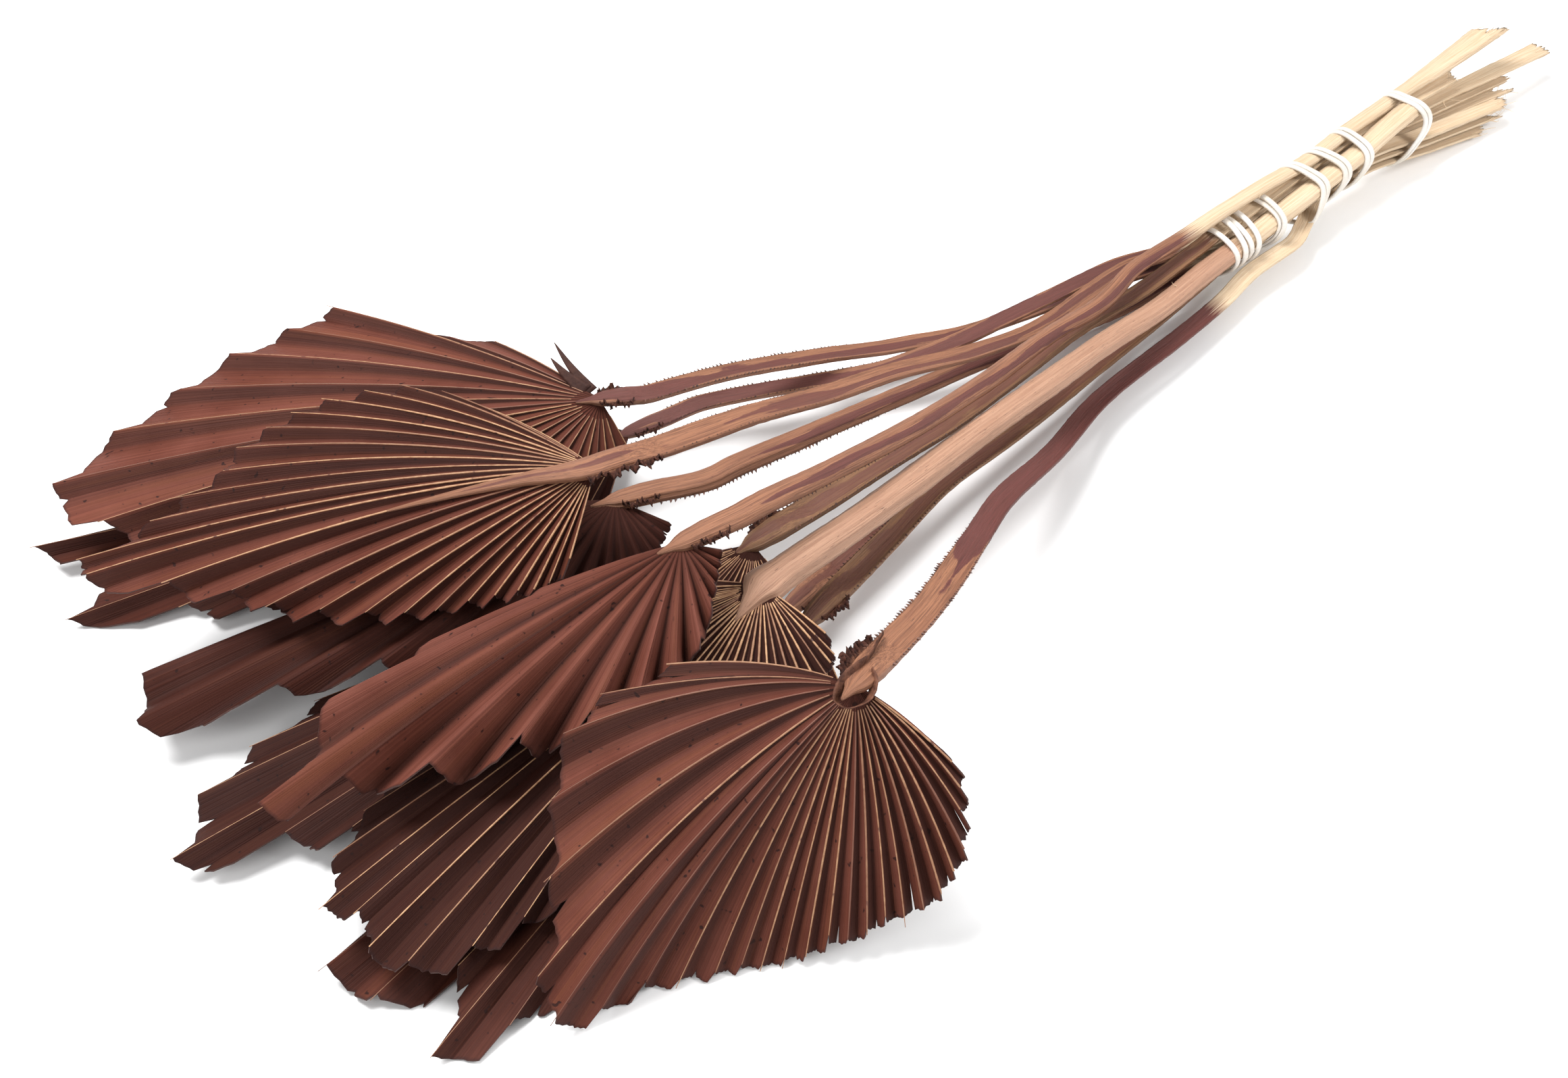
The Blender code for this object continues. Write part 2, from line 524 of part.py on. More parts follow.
def build():
    clear_scene()
    parts = new_collection("dried_palm_spears")
    helpers = new_collection("cutters")
    brown = material("dyed_blade", BROWN, 0.75)
    tan = material("stalk", TAN, 0.7)
    cream = material("elastic", CREAM, 0.6)
    blades, stalks = [], []
    for number, leaf in enumerate(LEAVES, start=1):
        blades.append(add_blade(f"blade_{number:02d}", leaf, number, parts, helpers, brown))
        stalks.append(add_stalk(f"stalk_{number:02d}", leaf, parts, tan))
    band = add_band("elastic_band", stalks, parts, cream)
    for number, (stalk, leaf) in enumerate(zip(stalks, LEAVES), start=1):
        if leaf["thorns"]:
            add_thorns(stalk, leaf, number, helpers)
    remove_helpers(helpers)
    press_flat(blades + stalks)
    centre_over_origin(blades + stalks + [band])


build()
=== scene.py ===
import math

import bmesh
import bpy
import numpy as np
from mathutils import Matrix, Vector


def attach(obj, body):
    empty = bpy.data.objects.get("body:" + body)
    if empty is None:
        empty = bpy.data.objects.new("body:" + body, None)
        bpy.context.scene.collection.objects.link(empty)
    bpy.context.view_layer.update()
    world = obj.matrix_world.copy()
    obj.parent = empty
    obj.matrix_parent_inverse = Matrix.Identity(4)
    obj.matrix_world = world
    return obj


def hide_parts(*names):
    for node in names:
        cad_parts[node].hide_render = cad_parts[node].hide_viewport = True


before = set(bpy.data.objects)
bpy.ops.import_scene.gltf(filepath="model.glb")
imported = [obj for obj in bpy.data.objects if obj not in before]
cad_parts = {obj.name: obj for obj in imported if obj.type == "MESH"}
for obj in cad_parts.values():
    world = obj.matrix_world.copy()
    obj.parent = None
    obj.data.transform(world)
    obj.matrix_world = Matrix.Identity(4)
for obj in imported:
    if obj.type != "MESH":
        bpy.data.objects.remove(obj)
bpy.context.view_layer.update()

# Surface, light and camera. The bunch lies on a plain pale surface under broad soft lamps, seen from its near
# left side, halfway between level and straight down.
MM = 0.001
CAMERA_PLACE = (-0.4181, -0.3881, 0.4985)
CAMERA_TOWARDS = (0.4545, 0.5417, -0.7071)
SURFACE_HALF, SURFACE_TOP = 4.0, -0.0003


def link_object(name, data):
    obj = bpy.data.objects.new(name, data)
    bpy.context.scene.collection.objects.link(obj)
    return obj


def shader_tree(name, roughness, specular=0.5):
    made = bpy.data.materials.new(name)
    made.use_nodes = True
    shader = made.node_tree.nodes["Principled BSDF"]
    shader.inputs["Roughness"].default_value = roughness
    shader.inputs["Specular IOR Level"].default_value = specular
    return made, made.node_tree, shader


def add_surface():
    mesh = bpy.data.meshes.new("pale_surface")
    low, high = -SURFACE_HALF, SURFACE_HALF
    corners = [(x, y, SURFACE_TOP) for x, y in ((low, low), (high, low), (high, high), (low, high))]
    mesh.from_pydata(corners, [], [(0, 1, 2, 3)])
    made, tree, shader = shader_tree("pale_surface", 0.9)
    shader.inputs["Base Color"].default_value = (0.86, 0.86, 0.86, 1.0)
    mesh.materials.append(made)
    link_object("pale_surface", mesh)


def add_soft_lamp(name, place, target, size, watts):
    lamp = bpy.data.lights.new(name, "AREA")
    lamp.shape = "DISK"
    lamp.size = size
    lamp.energy = watts
    obj = link_object(name, lamp)
    obj.location = place
    obj.rotation_euler = (Vector(target) - Vector(place)).to_track_quat("-Z", "Y").to_euler()


def add_camera():
    lens = bpy.data.cameras.new("camera")
    lens.lens = 50.0
    lens.sensor_width = 36.0
    lens.clip_start = 0.01
    obj = link_object("camera", lens)
    obj.location = CAMERA_PLACE
    obj.rotation_euler = Vector(CAMERA_TOWARDS).to_track_quat("-Z", "Y").to_euler()
    bpy.context.scene.camera = obj


add_surface()
add_camera()
add_soft_lamp("lamp_over", (-0.35, 0.45, 1.3), (-0.05, 0.0, 0.0), 0.75, 27.0)
add_soft_lamp("lamp_left", (-1.2, -0.3, 0.8), (-0.05, 0.0, 0.0), 0.8, 6.0)
add_soft_lamp("lamp_near", (0.55, -0.75, 0.75), (0.12, 0.02, 0.0), 0.5, 9.5)
world = bpy.data.worlds.new("room")
world.use_nodes = True
world.node_tree.nodes["Background"].inputs["Color"].default_value = (1.0, 1.0, 1.0, 1.0)
world.node_tree.nodes["Background"].inputs["Strength"].default_value = 0.47
bpy.context.scene.world = world
bpy.context.scene.view_settings.view_transform = "Standard"

# Palm blades: stiff dried leaves, pleated along ribs that fan out from the hub, trimmed to a spear shape and
# dyed chocolate brown. A Geometry Nodes tree pleats a smooth fan. Lengths are in millimetres from where the
# inner stalks cross Y = 0, and DESIGN_ORIGIN is that place in the finished bunch.
DESIGN_ORIGIN = np.array((-97.6, -6.494, 0.0))
HUB_RADIUS = 1.2
EDGE_STAGGER = 0.035
VALLEY_SHORTER = 0.012
STEP_SLANTS = (0.5, 0.35)  # share of a step that a panel's cut follows, where the outline grows and shrinks
STEP_LEAST, STEP_MOST = 0.84, 1.08  # a stepped edge against the smooth outline
NICK_CHANCE, NICK_DEPTHS, NICK_NARROWNESS = 0.55, (0.4, 2.6), 7
RAGGEDNESS, FULLY_RAGGED = 0.22, 30  # of the cut edge, on folds at least this long
FULLY_OPEN = 25  # from the hub, where the fine creases reach their full height
NORMAL_REACH = 6
ACROSS_A_FOLD = 6  # cells between one fold line and the next
ALONG_A_FOLD = 54
BLADE_THICKNESS = 0.5
RESTS_AT = 0.35  # lowest middle of a leaf, where it lies on the surface
SHARP_FOLD = 16  # degrees, past which a fold shows as a crisp line

# A rim row is a fold number and the point where that fold ends. Slopes are the panels' tilts in degrees, at
# the first fold and over the last quarter. Soft runs from crisp folds, 0, to round ones, 1. Valley is where a
# valley lies between its two ridges. The shade share is painted shade over the whole leaf, for leaves in the
# shadow of others. The mauve share is partly the dye's own colour and partly painted sheen.
blades = [
    {
        "name": "01", "slopes": (17, 30), "leaf_shade": 0.06, "arch": 0.03, "soft": 0.08, "mauve_and_sheen": 0.75,
        "valley": 0.3, "hub": (-29, 57, 38), "ridges": 22,
        "rim": ((1, -35, 82, 34), (1.9, -36, 105, 34), (3.2, -51, 124, 34), (3.8, -64, 154, 34),
            (4.9, -84, 157, 33), (6, -106, 158, 32), (7.1, -132, 157, 30), (8.5, -166, 151, 27),
            (9.4, -188, 143, 24), (10, -174, 127, 21), (11.8, -131, 88, 16), (14.6, -81, 57, 14),
            (17.6, -49, 46, 18), (22, -27, 46, 22)),
    },
    {
        "name": "02", "frayed": 1.6, "slopes": (18, 28), "leaf_shade": 0.55, "arch": 0.01, "soft": 0.08,
        "mauve_and_sheen": 0.1, "valley": 0.35, "hub": (-13, 65, 9), "ridges": 20,
        "rim": ((1, -32, 97, 10), (4.7, -92, 129, 10), (7.4, -158, 136, 9), (8, -191, 145, 7),
            (8.35, -178, 137, 6), (9, -172, 128, 5), (9.35, -193, 123, 3), (9.7, -203, 119, 2),
            (10.5, -178, 104, 2), (11.5, -155, 87, 4),
            (13.8, -116, 60, 4), (16.6, -76, 43, 6), (20, -39, 43, 7)),
    },
    {
        "name": "03", "slopes": (26, 50), "leaf_shade": 0.2, "arch": 0.035, "soft": 0.15, "mauve_and_sheen": 0.4,
        "bow": 0.02, "valley": 0.35, "hub": (-62, 13, 60), "ridges": 26,
        "rim": ((1, -67, 71, 48), (2.6, -77, 89, 49), (4.3, -94, 99, 48), (5.9, -111, 105, 46),
            (6.8, -120, 106, 45), (8.1, -134, 103, 44), (9.9, -154, 97, 42), (11.2, -174, 97, 40),
            (12.5, -198, 97, 38), (13.4, -184, 82, 39), (14.6, -168, 65, 37), (15.9, -156, 50, 35),
            (17.8, -138, 31, 34), (19.3, -124, 21, 33), (21.6, -105, 12, 34), (23.6, -95, 4, 36),
            (26, -83, 0, 41)),
    },
    {
        "name": "04", "frayed": 2, "curl": 0.5, "slopes": (24, 40), "leaf_shade": 0.74, "arch": 0.02,
        "soft": 0.8, "mauve_and_sheen": 0.15, "hub": (-49, 23, 31), "ridges": 18,
        "rim": ((1, -66, 40, 26), (3.1, -115, 56, 22), (4.3, -150, 57, 19), (4.8, -179, 63, 16),
            (5.2, -200, 67, 14), (5.7, -210, 58, 12), (6.3, -188, 44, 15), (6.8, -173, 36, 18),
            (7.4, -152, 28, 20), (9.2, -114, 7, 22), (10.8, -89, -1, 22), (12.2, -74, -4, 23),
            (13.3, -64, -3, 24), (14.7, -53, 1, 25), (17.2, -43, 6, 25), (18, -40, 8, 26)),
    },
    {
        "name": "05", "curl": 0.8, "slopes": (30, 56), "leaf_shade": 0.2, "arch": 0.035, "soft": 0.85,
        "mauve_and_sheen": 0.9, "hub": (-62, -28, 60), "ridges": 16,
        "rim": ((1, -99, -11, 50), (2.4, -150, -4, 46), (3, -170, -4, 44), (3.3, -184, -6, 42),
            (3.9, -196, -18, 39), (4.4, -210, -25, 36), (4.8, -190, -21, 38), (5.2, -168, -24, 40),
            (6, -156, -37, 40), (6.7, -141, -44, 41), (7.5, -123, -49, 42), (8.2, -110, -52, 42),
            (9.1, -98, -55, 43), (11, -75, -52, 47), (12.2, -65, -45, 52), (16, -54, -36, 57)),
    },
    {
        "name": "06", "frayed": 2.6, "slopes": (22, 34), "leaf_shade": 0.84, "arch": 0.01, "soft": 0.08,
        "mauve_and_sheen": 0.15, "hub": (-23, -12, 22), "ridges": 25,
        "rim": ((1, -58, 6, 17), (3.4, -124, 15, 11), (4.3, -160, 31, 8), (4.9, -180, 29, 7),
            (5.7, -203, 23, 7), (6.5, -216, 8, 6), (7.3, -192, -5, 7), (7.9, -182, -15, 8),
            (8.3, -165, -18, 9), (9.6, -125, -28, 11), (11.5, -79, -32, 16), (14, -47, -30, 15),
            (20, -23, -22, 18)),
    },
    {
        "name": "07", "slopes": (20, 44), "leaf_shade": 0.86, "arch": 0.025, "soft": 0.15, "mauve_and_sheen": 0.1,
        "valley": 0.4, "hub": (-43, -41, 40), "ridges": 34,
        "rim": ((1, -61, -17, 35), (5.9, -124, -9, 26), (7.5, -152, -15, 23), (8.7, -175, -24, 20),
            (9.6, -190, -33, 18), (10.5, -202, -46, 15), (10.9, -189, -48, 17), (11.6, -194, -59, 15),
            (12.3, -189, -68, 14), (13.2, -173, -77, 15), (13.9, -157, -78, 16), (15.2, -127, -77, 18),
            (17.2, -92, -74, 22), (20.3, -65, -74, 27), (24.2, -45, -74, 33), (26, -39, -65, 36)),
    },
    {
        "name": "08", "frayed": 1.6, "slopes": (20, 28), "leaf_shade": 0.44, "arch": 0.0, "soft": 0.08,
        "mauve_and_sheen": 0.35, "hub": (-26, -34, 13), "ridges": 14,
        "rim": ((1, -68, 4, 4), (5.1, -140, -7, 2), (6.8, -173, -30, 2), (7.9, -198, -47, 4),
            (8.5, -213, -60, 2), (9.2, -192, -67, 2), (9.6, -178, -72, 2), (10.3, -145, -68, 3),
            (11.6, -111, -73, 3), (14, -68, -71, 6)),
    },
    {
        "name": "09", "frayed": 2, "slopes": (22, 32), "leaf_shade": 0.66, "arch": 0.015, "soft": 0.08,
        "mauve_and_sheen": 0.45, "valley": 0.4, "hub": (-31, -49, 24), "ridges": 20,
        "rim": ((1, -76, -38, 14), (3.4, -134, -44, 12), (5.6, -176, -72, 8), (6.5, -193, -88, 2),
            (7.4, -171, -94, 2), (8.1, -149, -93, 2), (9.1, -119, -89, 5), (11.7, -77, -89, 9),
            (16, -42, -83, 12)),
    },
    {
        "name": "10", "frayed": 3, "slopes": (17, 50), "leaf_shade": 0.2, "most_rise": 0.045, "arch": 0.04,
        "soft": 0.08, "mauve_and_sheen": 0.7, "bow": 0.055, "hub": (-63, -104, 66), "ridges": 28,
        "rim": ((1, -93, -65, 62), (2.6, -122, -57, 56), (3.5, -133, -63, 48), (4.5, -144, -74, 37),
            (5.5, -156, -87, 24), (6, -164, -94, 15), (6.4, -171, -98, 8), (7.6, -157, -105, 5),
            (9, -141, -107, 2), (11.2, -121, -116, 1), (13.6, -107, -123, 1), (16.4, -93, -132, 7),
            (20.2, -75, -141, 14), (22.6, -64, -145, 24), (25, -55, -139, 40), (26.8, -52, -132, 50),
            (28, -56, -121, 58)),
    },
]


def curve_through(knots, values, at):
    """Points at the parameters of a smooth curve that passes through values at knots."""
    knots = np.asarray(knots, float)
    values = np.asarray(values, float)
    step = np.diff(knots)
    slope = np.diff(values, axis=0) / step[:, None]
    tangent = np.empty_like(values)
    tangent[0], tangent[-1] = slope[0], slope[-1]
    before, after = step[:-1, None], step[1:, None]
    product = slope[:-1] * slope[1:]
    weighted = slope[:-1] * (2 * before + after) + slope[1:] * (before + 2 * after)
    same_way = product > 0
    tangent[1:-1] = np.where(same_way, 3 * (before + after) * product / np.where(same_way, weighted, 1), 0)
    at = np.clip(at, knots[0], knots[-1])
    i = np.clip(np.searchsorted(knots, at, side="right") - 1, 0, len(knots) - 2)
    t = ((at - knots[i]) / step[i])[:, None]
    h = step[i][:, None]
    start = (2 * t**3 - 3 * t**2 + 1) * values[i] + (t**3 - 2 * t**2 + t) * h * tangent[i]
    end = (3 * t**2 - 2 * t**3) * values[i + 1] + (t**3 - t**2) * h * tangent[i + 1]
    return start + end


def unit(vector):
    return vector / np.linalg.norm(vector, axis=-1, keepdims=True)


def fold_lines(blade):
    """For each fold: its start, its end, the way up there, and its rise or fall per millimetre of length."""
    hub = np.array(blade["hub"], float)
    numbers = 1 + np.arange(2 * blade["ridges"] - 1) / 2
    numbers[1::2] += blade.get("valley", 0.5) - 0.5
    rim = np.array(blade["rim"], float)
    along_rim = 1 + (numbers - 1) * (rim[-1, 0] - 1) / (blade["ridges"] - 1)
    ends = curve_through(rim[:, 0], rim[:, 1:], along_rim)
    outward = unit(ends - hub)
    trim = 1 + EDGE_STAGGER * (np.random.default_rng(int(blade["name"])).random(len(ends)) - 0.7)
    trim[1::2] -= VALLEY_SHORTER
    ends = hub + (ends - hub) * trim[:, None]
    starts = hub + outward * HUB_RADIUS
    normals = np.cross(outward, np.gradient(outward, axis=0))
    normals *= np.sign(normals[:, 2].sum())
    near = np.abs(np.subtract.outer(np.arange(len(ends)), np.arange(len(ends)))) <= NORMAL_REACH
    up = unit(near @ normals)
    half_angle = np.arccos(np.clip((outward[1:] * outward[:-1]).sum(axis=1), -1, 1))
    half_angle = np.interp(np.arange(len(ends)), np.arange(len(half_angle)) + 0.5, half_angle)
    slopes = np.interp(np.arange(len(ends)), (0, 0.75 * len(ends)), np.radians(blade["slopes"]))
    rise = 0.5 * np.tan(slopes) * half_angle
    rise = np.minimum(rise, blade.get("most_rise", 1.0))
    return starts, ends, up, rise


def grid_faces(rows, columns, closed=False):
    """Quads of a grid of points that is stored row by row."""
    faces = []
    for row in range(rows - 1):
        for column in range(columns if closed else columns - 1):
            after = (column + 1) % columns
            low, high = row * columns, (row + 1) * columns
            faces.append((low + column, low + after, high + after, high + column))
    return faces


def add_mesh(name, points, faces, *materials, numbers=None):
    """A smooth mesh from points in design millimetres, with a named number or vector stored at each point."""
    mesh = bpy.data.meshes.new(name)
    points = (np.asarray(points, float).reshape(-1, 3) + DESIGN_ORIGIN) * MM
    mesh.from_pydata(points.tolist(), [], faces)
    mesh.polygons.foreach_set("use_smooth", np.ones(len(mesh.polygons), bool))
    for surface in materials:
        mesh.materials.append(surface)
    for label, values in (numbers or {}).items():
        store_numbers(mesh, label, values)
    return link_object(name, mesh)


def store_numbers(mesh, label, values):
    values = np.asarray(values, float)
    if values.ndim == 1:
        mesh.attributes.new(label, "FLOAT", "POINT").data.foreach_set("value", values)
    else:
        mesh.attributes.new(label, "FLOAT_VECTOR", "POINT").data.foreach_set("vector", values.ravel())


def add_lines(name, lines, **numbers):
    """A mesh of separate lines in design millimetres, with named numbers stored at their points."""
    edges, first = [], 0
    for line in lines:
        edges += [(first + k, first + k + 1) for k in range(len(line) - 1)]
        first += len(line)
    mesh = bpy.data.meshes.new(name)
    mesh.from_pydata(((np.vstack(lines) + DESIGN_ORIGIN) * MM).tolist(), edges, [])
    for label, values in numbers.items():
        store_numbers(mesh, label, values)
    return link_object(name, mesh)


def apply_modifiers(obj):
    graph = bpy.context.evaluated_depsgraph_get()
    obj.data = bpy.data.meshes.new_from_object(obj.evaluated_get(graph))
    obj.modifiers.clear()


def thicken(sheet, thickness, rim_material=0):
    """Gives a sheet its thickness, half of it on each side."""
    wall = sheet.modifiers.new("wall", "SOLIDIFY")
    wall.thickness = thickness * MM
    wall.offset = 0.0
    wall.material_offset_rim = rim_material
    apply_modifiers(sheet)


def turn_faces_out(obj):
    shape = bmesh.new()
    shape.from_mesh(obj.data)
    bmesh.ops.recalc_face_normals(shape, faces=shape.faces)
    shape.to_mesh(obj.data)
    shape.free()


def add_node(tree, kind, feeds=None, **settings):
    """A node with its settings made, and its inputs set to values or joined to other nodes' outputs."""
    node = tree.nodes.new(kind)
    for name, value in settings.items():
        setattr(node, name, value)
    for socket, value in (feeds or {}).items():
        if isinstance(value, bpy.types.NodeSocket):
            tree.links.new(value, node.inputs[socket])
        else:
            node.inputs[socket].default_value = value
    return node


def maths(tree, operation, *values):
    return add_node(tree, "ShaderNodeMath", dict(enumerate(values)), operation=operation).outputs[0]


def stored(tree, name, data_type="FLOAT"):
    """A number stored at each point, read in a Geometry Nodes tree."""
    return add_node(tree, "GeometryNodeInputNamedAttribute", {"Name": name}, data_type=data_type).outputs[0]


def new_geometry_tree(name, sizes):
    """A Geometry Nodes tree that takes a geometry, named sizes and a material, and its group input."""
    tree = bpy.data.node_groups.new(name, "GeometryNodeTree")
    tree.interface.new_socket("Geometry", in_out="OUTPUT", socket_type="NodeSocketGeometry")
    tree.interface.new_socket("Geometry", in_out="INPUT", socket_type="NodeSocketGeometry")
    for label, value in sizes.items():
        socket = tree.interface.new_socket(label, in_out="INPUT", socket_type="NodeSocketFloat")
        socket.default_value = value
    tree.interface.new_socket("Material", in_out="INPUT", socket_type="NodeSocketMaterial")
    return tree, tree.nodes.new("NodeGroupInput")


def end_tree(tree, group_input, geometry):
    """Ends a tree in Realize Instances and Set Material."""
    real = add_node(tree, "GeometryNodeRealizeInstances", {"Geometry": geometry})
    finish = {"Geometry": real.outputs[0], "Material": group_input.outputs["Material"]}
    finished = add_node(tree, "GeometryNodeSetMaterial", finish)
    tree.links.new(finished.outputs[0], tree.nodes.new("NodeGroupOutput").inputs[0])


def run_tree(obj, tree, material, **sizes):
    """Runs a tree on an object with these sizes and leaves its result as a plain mesh."""
    modifier = obj.modifiers.new(tree.name, "NODES")
    modifier.node_group = tree
    for item in tree.interface.items_tree:
        if item.in_out == "INPUT" and item.name in sizes:
            modifier[item.identifier] = sizes[item.name]
        elif item.name == "Material":
            modifier[item.identifier] = material
    apply_modifiers(obj)


def pleat_tree():
    """Folds a smooth fan: up at whole fold numbers, down between them, with finer creases along the veins."""
    sizes = {"Softness": 0.2, "Crease": 0.00025, "Sway": 0.0004, "Belly": 0.12}
    tree, given = new_geometry_tree("pleating", sizes)
    fold = stored(tree, "fold")
    across = maths(tree, "PINGPONG", fold, 1.0)
    straight = maths(tree, "SUBTRACT", 1.0, maths(tree, "MULTIPLY", across, 2.0))
    rounded = maths(tree, "SINE", maths(tree, "MULTIPLY", straight, math.pi / 2))
    mixed = add_node(tree, "ShaderNodeMix", {0: given.outputs["Softness"], 2: straight, 3: rounded})
    belly = maths(tree, "SINE", maths(tree, "MULTIPLY", across, math.pi))
    side = maths(tree, "SUBTRACT", maths(tree, "MULTIPLY", stored(tree, "bulge"), 2.0), 1.0)
    belly = maths(tree, "MULTIPLY", maths(tree, "MULTIPLY", belly, side), given.outputs["Belly"])
    height = maths(tree, "ADD", mixed.outputs[0], belly)
    lift = add_node(tree, "ShaderNodeVectorMath", {0: stored(tree, "lift", "FLOAT_VECTOR"), "Scale": height},
        operation="SCALE")
    vein = stored(tree, "vein", "FLOAT_VECTOR")
    stretched = add_node(tree, "ShaderNodeVectorMath", {0: vein, 1: (3.1, 14.0, 1.0)}, operation="MULTIPLY")
    feeds = {"Vector": stretched.outputs[0], "Scale": 1.0, "Detail": 2.0}
    crease = add_node(tree, "ShaderNodeTexNoise", feeds)
    crease = maths(tree, "MULTIPLY", maths(tree, "SUBTRACT", crease.outputs[0], 0.5), given.outputs["Crease"])
    place = add_node(tree, "GeometryNodeInputPosition")
    sway = add_node(tree, "ShaderNodeTexNoise", {"Vector": place.outputs[0], "Scale": 28.0, "Detail": 1.0})
    sway = maths(tree, "MULTIPLY", maths(tree, "SUBTRACT", sway.outputs[0], 0.5), given.outputs["Sway"])
    small = maths(tree, "MULTIPLY", maths(tree, "ADD", crease, sway), stored(tree, "open"))
    ripple = add_node(tree, "ShaderNodeVectorMath", {0: stored(tree, "up", "FLOAT_VECTOR"), "Scale": small},
        operation="SCALE")
    both = add_node(tree, "ShaderNodeVectorMath", {0: lift.outputs[0], 1: ripple.outputs[0]}, operation="ADD")
    moved = {"Geometry": given.outputs["Geometry"], "Offset": both.outputs[0]}
    end_tree(tree, given, add_node(tree, "GeometryNodeSetPosition", moved).outputs[0])
    return tree


def smooth_fan(blade):
    """The blade before it is pleated: rows of points from the hub to the edge, and what each point stores."""
    random = np.random.default_rng(100 + int(blade["name"]))
    starts, ends, up, rise = fold_lines(blade)
    last = len(starts) - 1
    fold = np.linspace(0, last, last * ACROSS_A_FOLD + 1)
    number = np.arange(last + 1)
    spread = lambda values: np.stack([np.interp(fold, number, v) for v in np.asarray(values).T], axis=-1)
    starts, ends, up, rise = spread(starts), spread(ends), spread(up), np.interp(fold, number, rise)
    length = np.linalg.norm(ends - starts, axis=1)
    nick = np.where(random.random(last + 1) < NICK_CHANCE, random.uniform(*NICK_DEPTHS, last + 1), 0.0)
    nick[1::2] *= blade.get("frayed", 1.0)
    near = np.abs(fold - np.round(fold))
    nicked = nick[np.round(fold).astype(int)] * np.clip(1 - near * NICK_NARROWNESS, 0, 1)
    ragged = random.normal(0, RAGGEDNESS, len(fold)) + nicked
    share = np.linspace(0, 1, ALONG_A_FOLD) ** 0.9
    ridge_lengths = length[:: 2 * ACROSS_A_FOLD]
    panel = np.minimum((fold / 2).astype(int), len(ridge_lengths) - 2)
    within = fold / 2 - panel
    step = np.diff(ridge_lengths)[panel]
    slant = np.where(step > 0, *STEP_SLANTS)
    level = np.clip((ridge_lengths[panel] + slant * step * within) / length, STEP_LEAST, STEP_MOST)
    stepped = np.where((within > 0) & (within < 1), level, 1.0)
    reach = share[:, None] * (length * stepped - ragged * np.clip(length / FULLY_RAGGED, 0, 1))[None]
    part = reach / length[None]
    points = starts[None] + (ends - starts)[None] * part[..., None]
    points[..., 2] += blade["arch"] * 4 * part * (1 - part) * length[None]
    spread_out = unit(np.gradient(ends - starts, axis=0)) * (2 * fold / last - 1)[:, None]
    bowed = blade.get("bow", 0.0) * 4 * part * (1 - part) * length[None]
    points += spread_out[None] * bowed[..., None]
    bulge = random.random(last + 1)[np.minimum(fold.astype(int), last)]
    shape = reach.shape
    curl = 1 + blade.get("curl", 0.0) * np.clip(part, 0, 1) ** 4
    lift = up[None] * (rise[None] * reach * curl)[..., None] * MM
    # Painted shade, darkest just past each ridge and lighter beyond the valley; soft folds, in the valley
    # only.
    past_ridge = fold / 2 - np.floor(fold / 2)
    painted_shade = np.clip(past_ridge / 0.06, 0, 1) * np.clip((0.85 - past_ridge) / 0.5, 0, 1) ** 1.4
    if blade["soft"] > 0.5:
        from_ridge = np.abs(fold - 2 * np.round(fold / 2))
        painted_shade = np.clip((from_ridge - 0.35) / 0.6, 0, 1) ** 1.2
    painted_shade = painted_shade[None] * np.interp(reach, (8, 60, 150), (1.0, 0.9, 0.7))
    # Painted shade over the whole leaf, for leaves lying in the shadow of those above them.
    painted_shade = painted_shade + (1 - painted_shade) * blade.get("leaf_shade", 0.0)
    # Share of mauve, partly the dye's own colour and partly painted sheen, set higher on lit leaves.
    mauve_and_sheen = blade["mauve_and_sheen"] + 0.3 * (random.random(last + 1)[np.minimum(fold.astype(int), last)] - 0.5)
    stores = {
        "fold": np.broadcast_to(fold, shape).ravel(),
        "bulge": np.broadcast_to(bulge, shape).ravel(),
        "lift": lift.reshape(-1, 3),
        "up": np.broadcast_to(up, (*shape, 3)).reshape(-1, 3),
        "open": np.clip(reach / FULLY_OPEN, 0, 1).ravel(),
        "vein": np.stack([np.broadcast_to(fold, shape), reach * MM,
            np.full(shape, float(blade["name"]) * 3.7)], axis=-1).reshape(-1, 3),
        "to_edge": (reach[-1][None] - reach).ravel(),
        "from_hub": reach.ravel(),
        "painted_shade": painted_shade.ravel(),
        "mauve_and_sheen": np.broadcast_to(mauve_and_sheen, shape).ravel(),
    }
    return points.reshape(-1, 3), shape, stores


def painted(tree, name, vector=False):
    """A number or vector stored at each point, read in a material."""
    node = add_node(tree, "ShaderNodeAttribute", attribute_name=name)
    return node.outputs["Vector" if vector else "Fac"]


def object_place(tree):
    return add_node(tree, "ShaderNodeTexCoord").outputs["Object"]


def noise(tree, place, stretch=(1.0, 1.0, 1.0), scale=1.0, detail=3.0):
    """Noise from 0 to 1 at a place that is first stretched along its own axes."""
    stretched = add_node(tree, "ShaderNodeVectorMath", {0: place, 1: stretch}, operation="MULTIPLY")
    feeds = {"Vector": stretched.outputs[0], "Scale": scale, "Detail": detail, "Roughness": 0.6}
    return add_node(tree, "ShaderNodeTexNoise", feeds).outputs[0]


def between(tree, value, low, high, to_low=0.0, to_high=1.0):
    feeds = {0: value, 1: low, 2: high, 3: to_low, 4: to_high}
    return add_node(tree, "ShaderNodeMapRange", feeds).outputs[0]


def mix_colours(tree, share, first, second):
    node = add_node(tree, "ShaderNodeMix", {0: share}, data_type="RGBA")
    for socket, colour in ((6, first), (7, second)):
        if isinstance(colour, bpy.types.NodeSocket):
            tree.links.new(colour, node.inputs[socket])
        else:
            node.inputs[socket].default_value = (*colour, 1.0)
    return node.outputs[2]


def add_bump(tree, shader, height, distance):
    bump = add_node(tree, "ShaderNodeBump", {"Height": height, "Distance": distance, "Strength": 0.6})
    tree.links.new(bump.outputs[0], shader.inputs["Normal"])


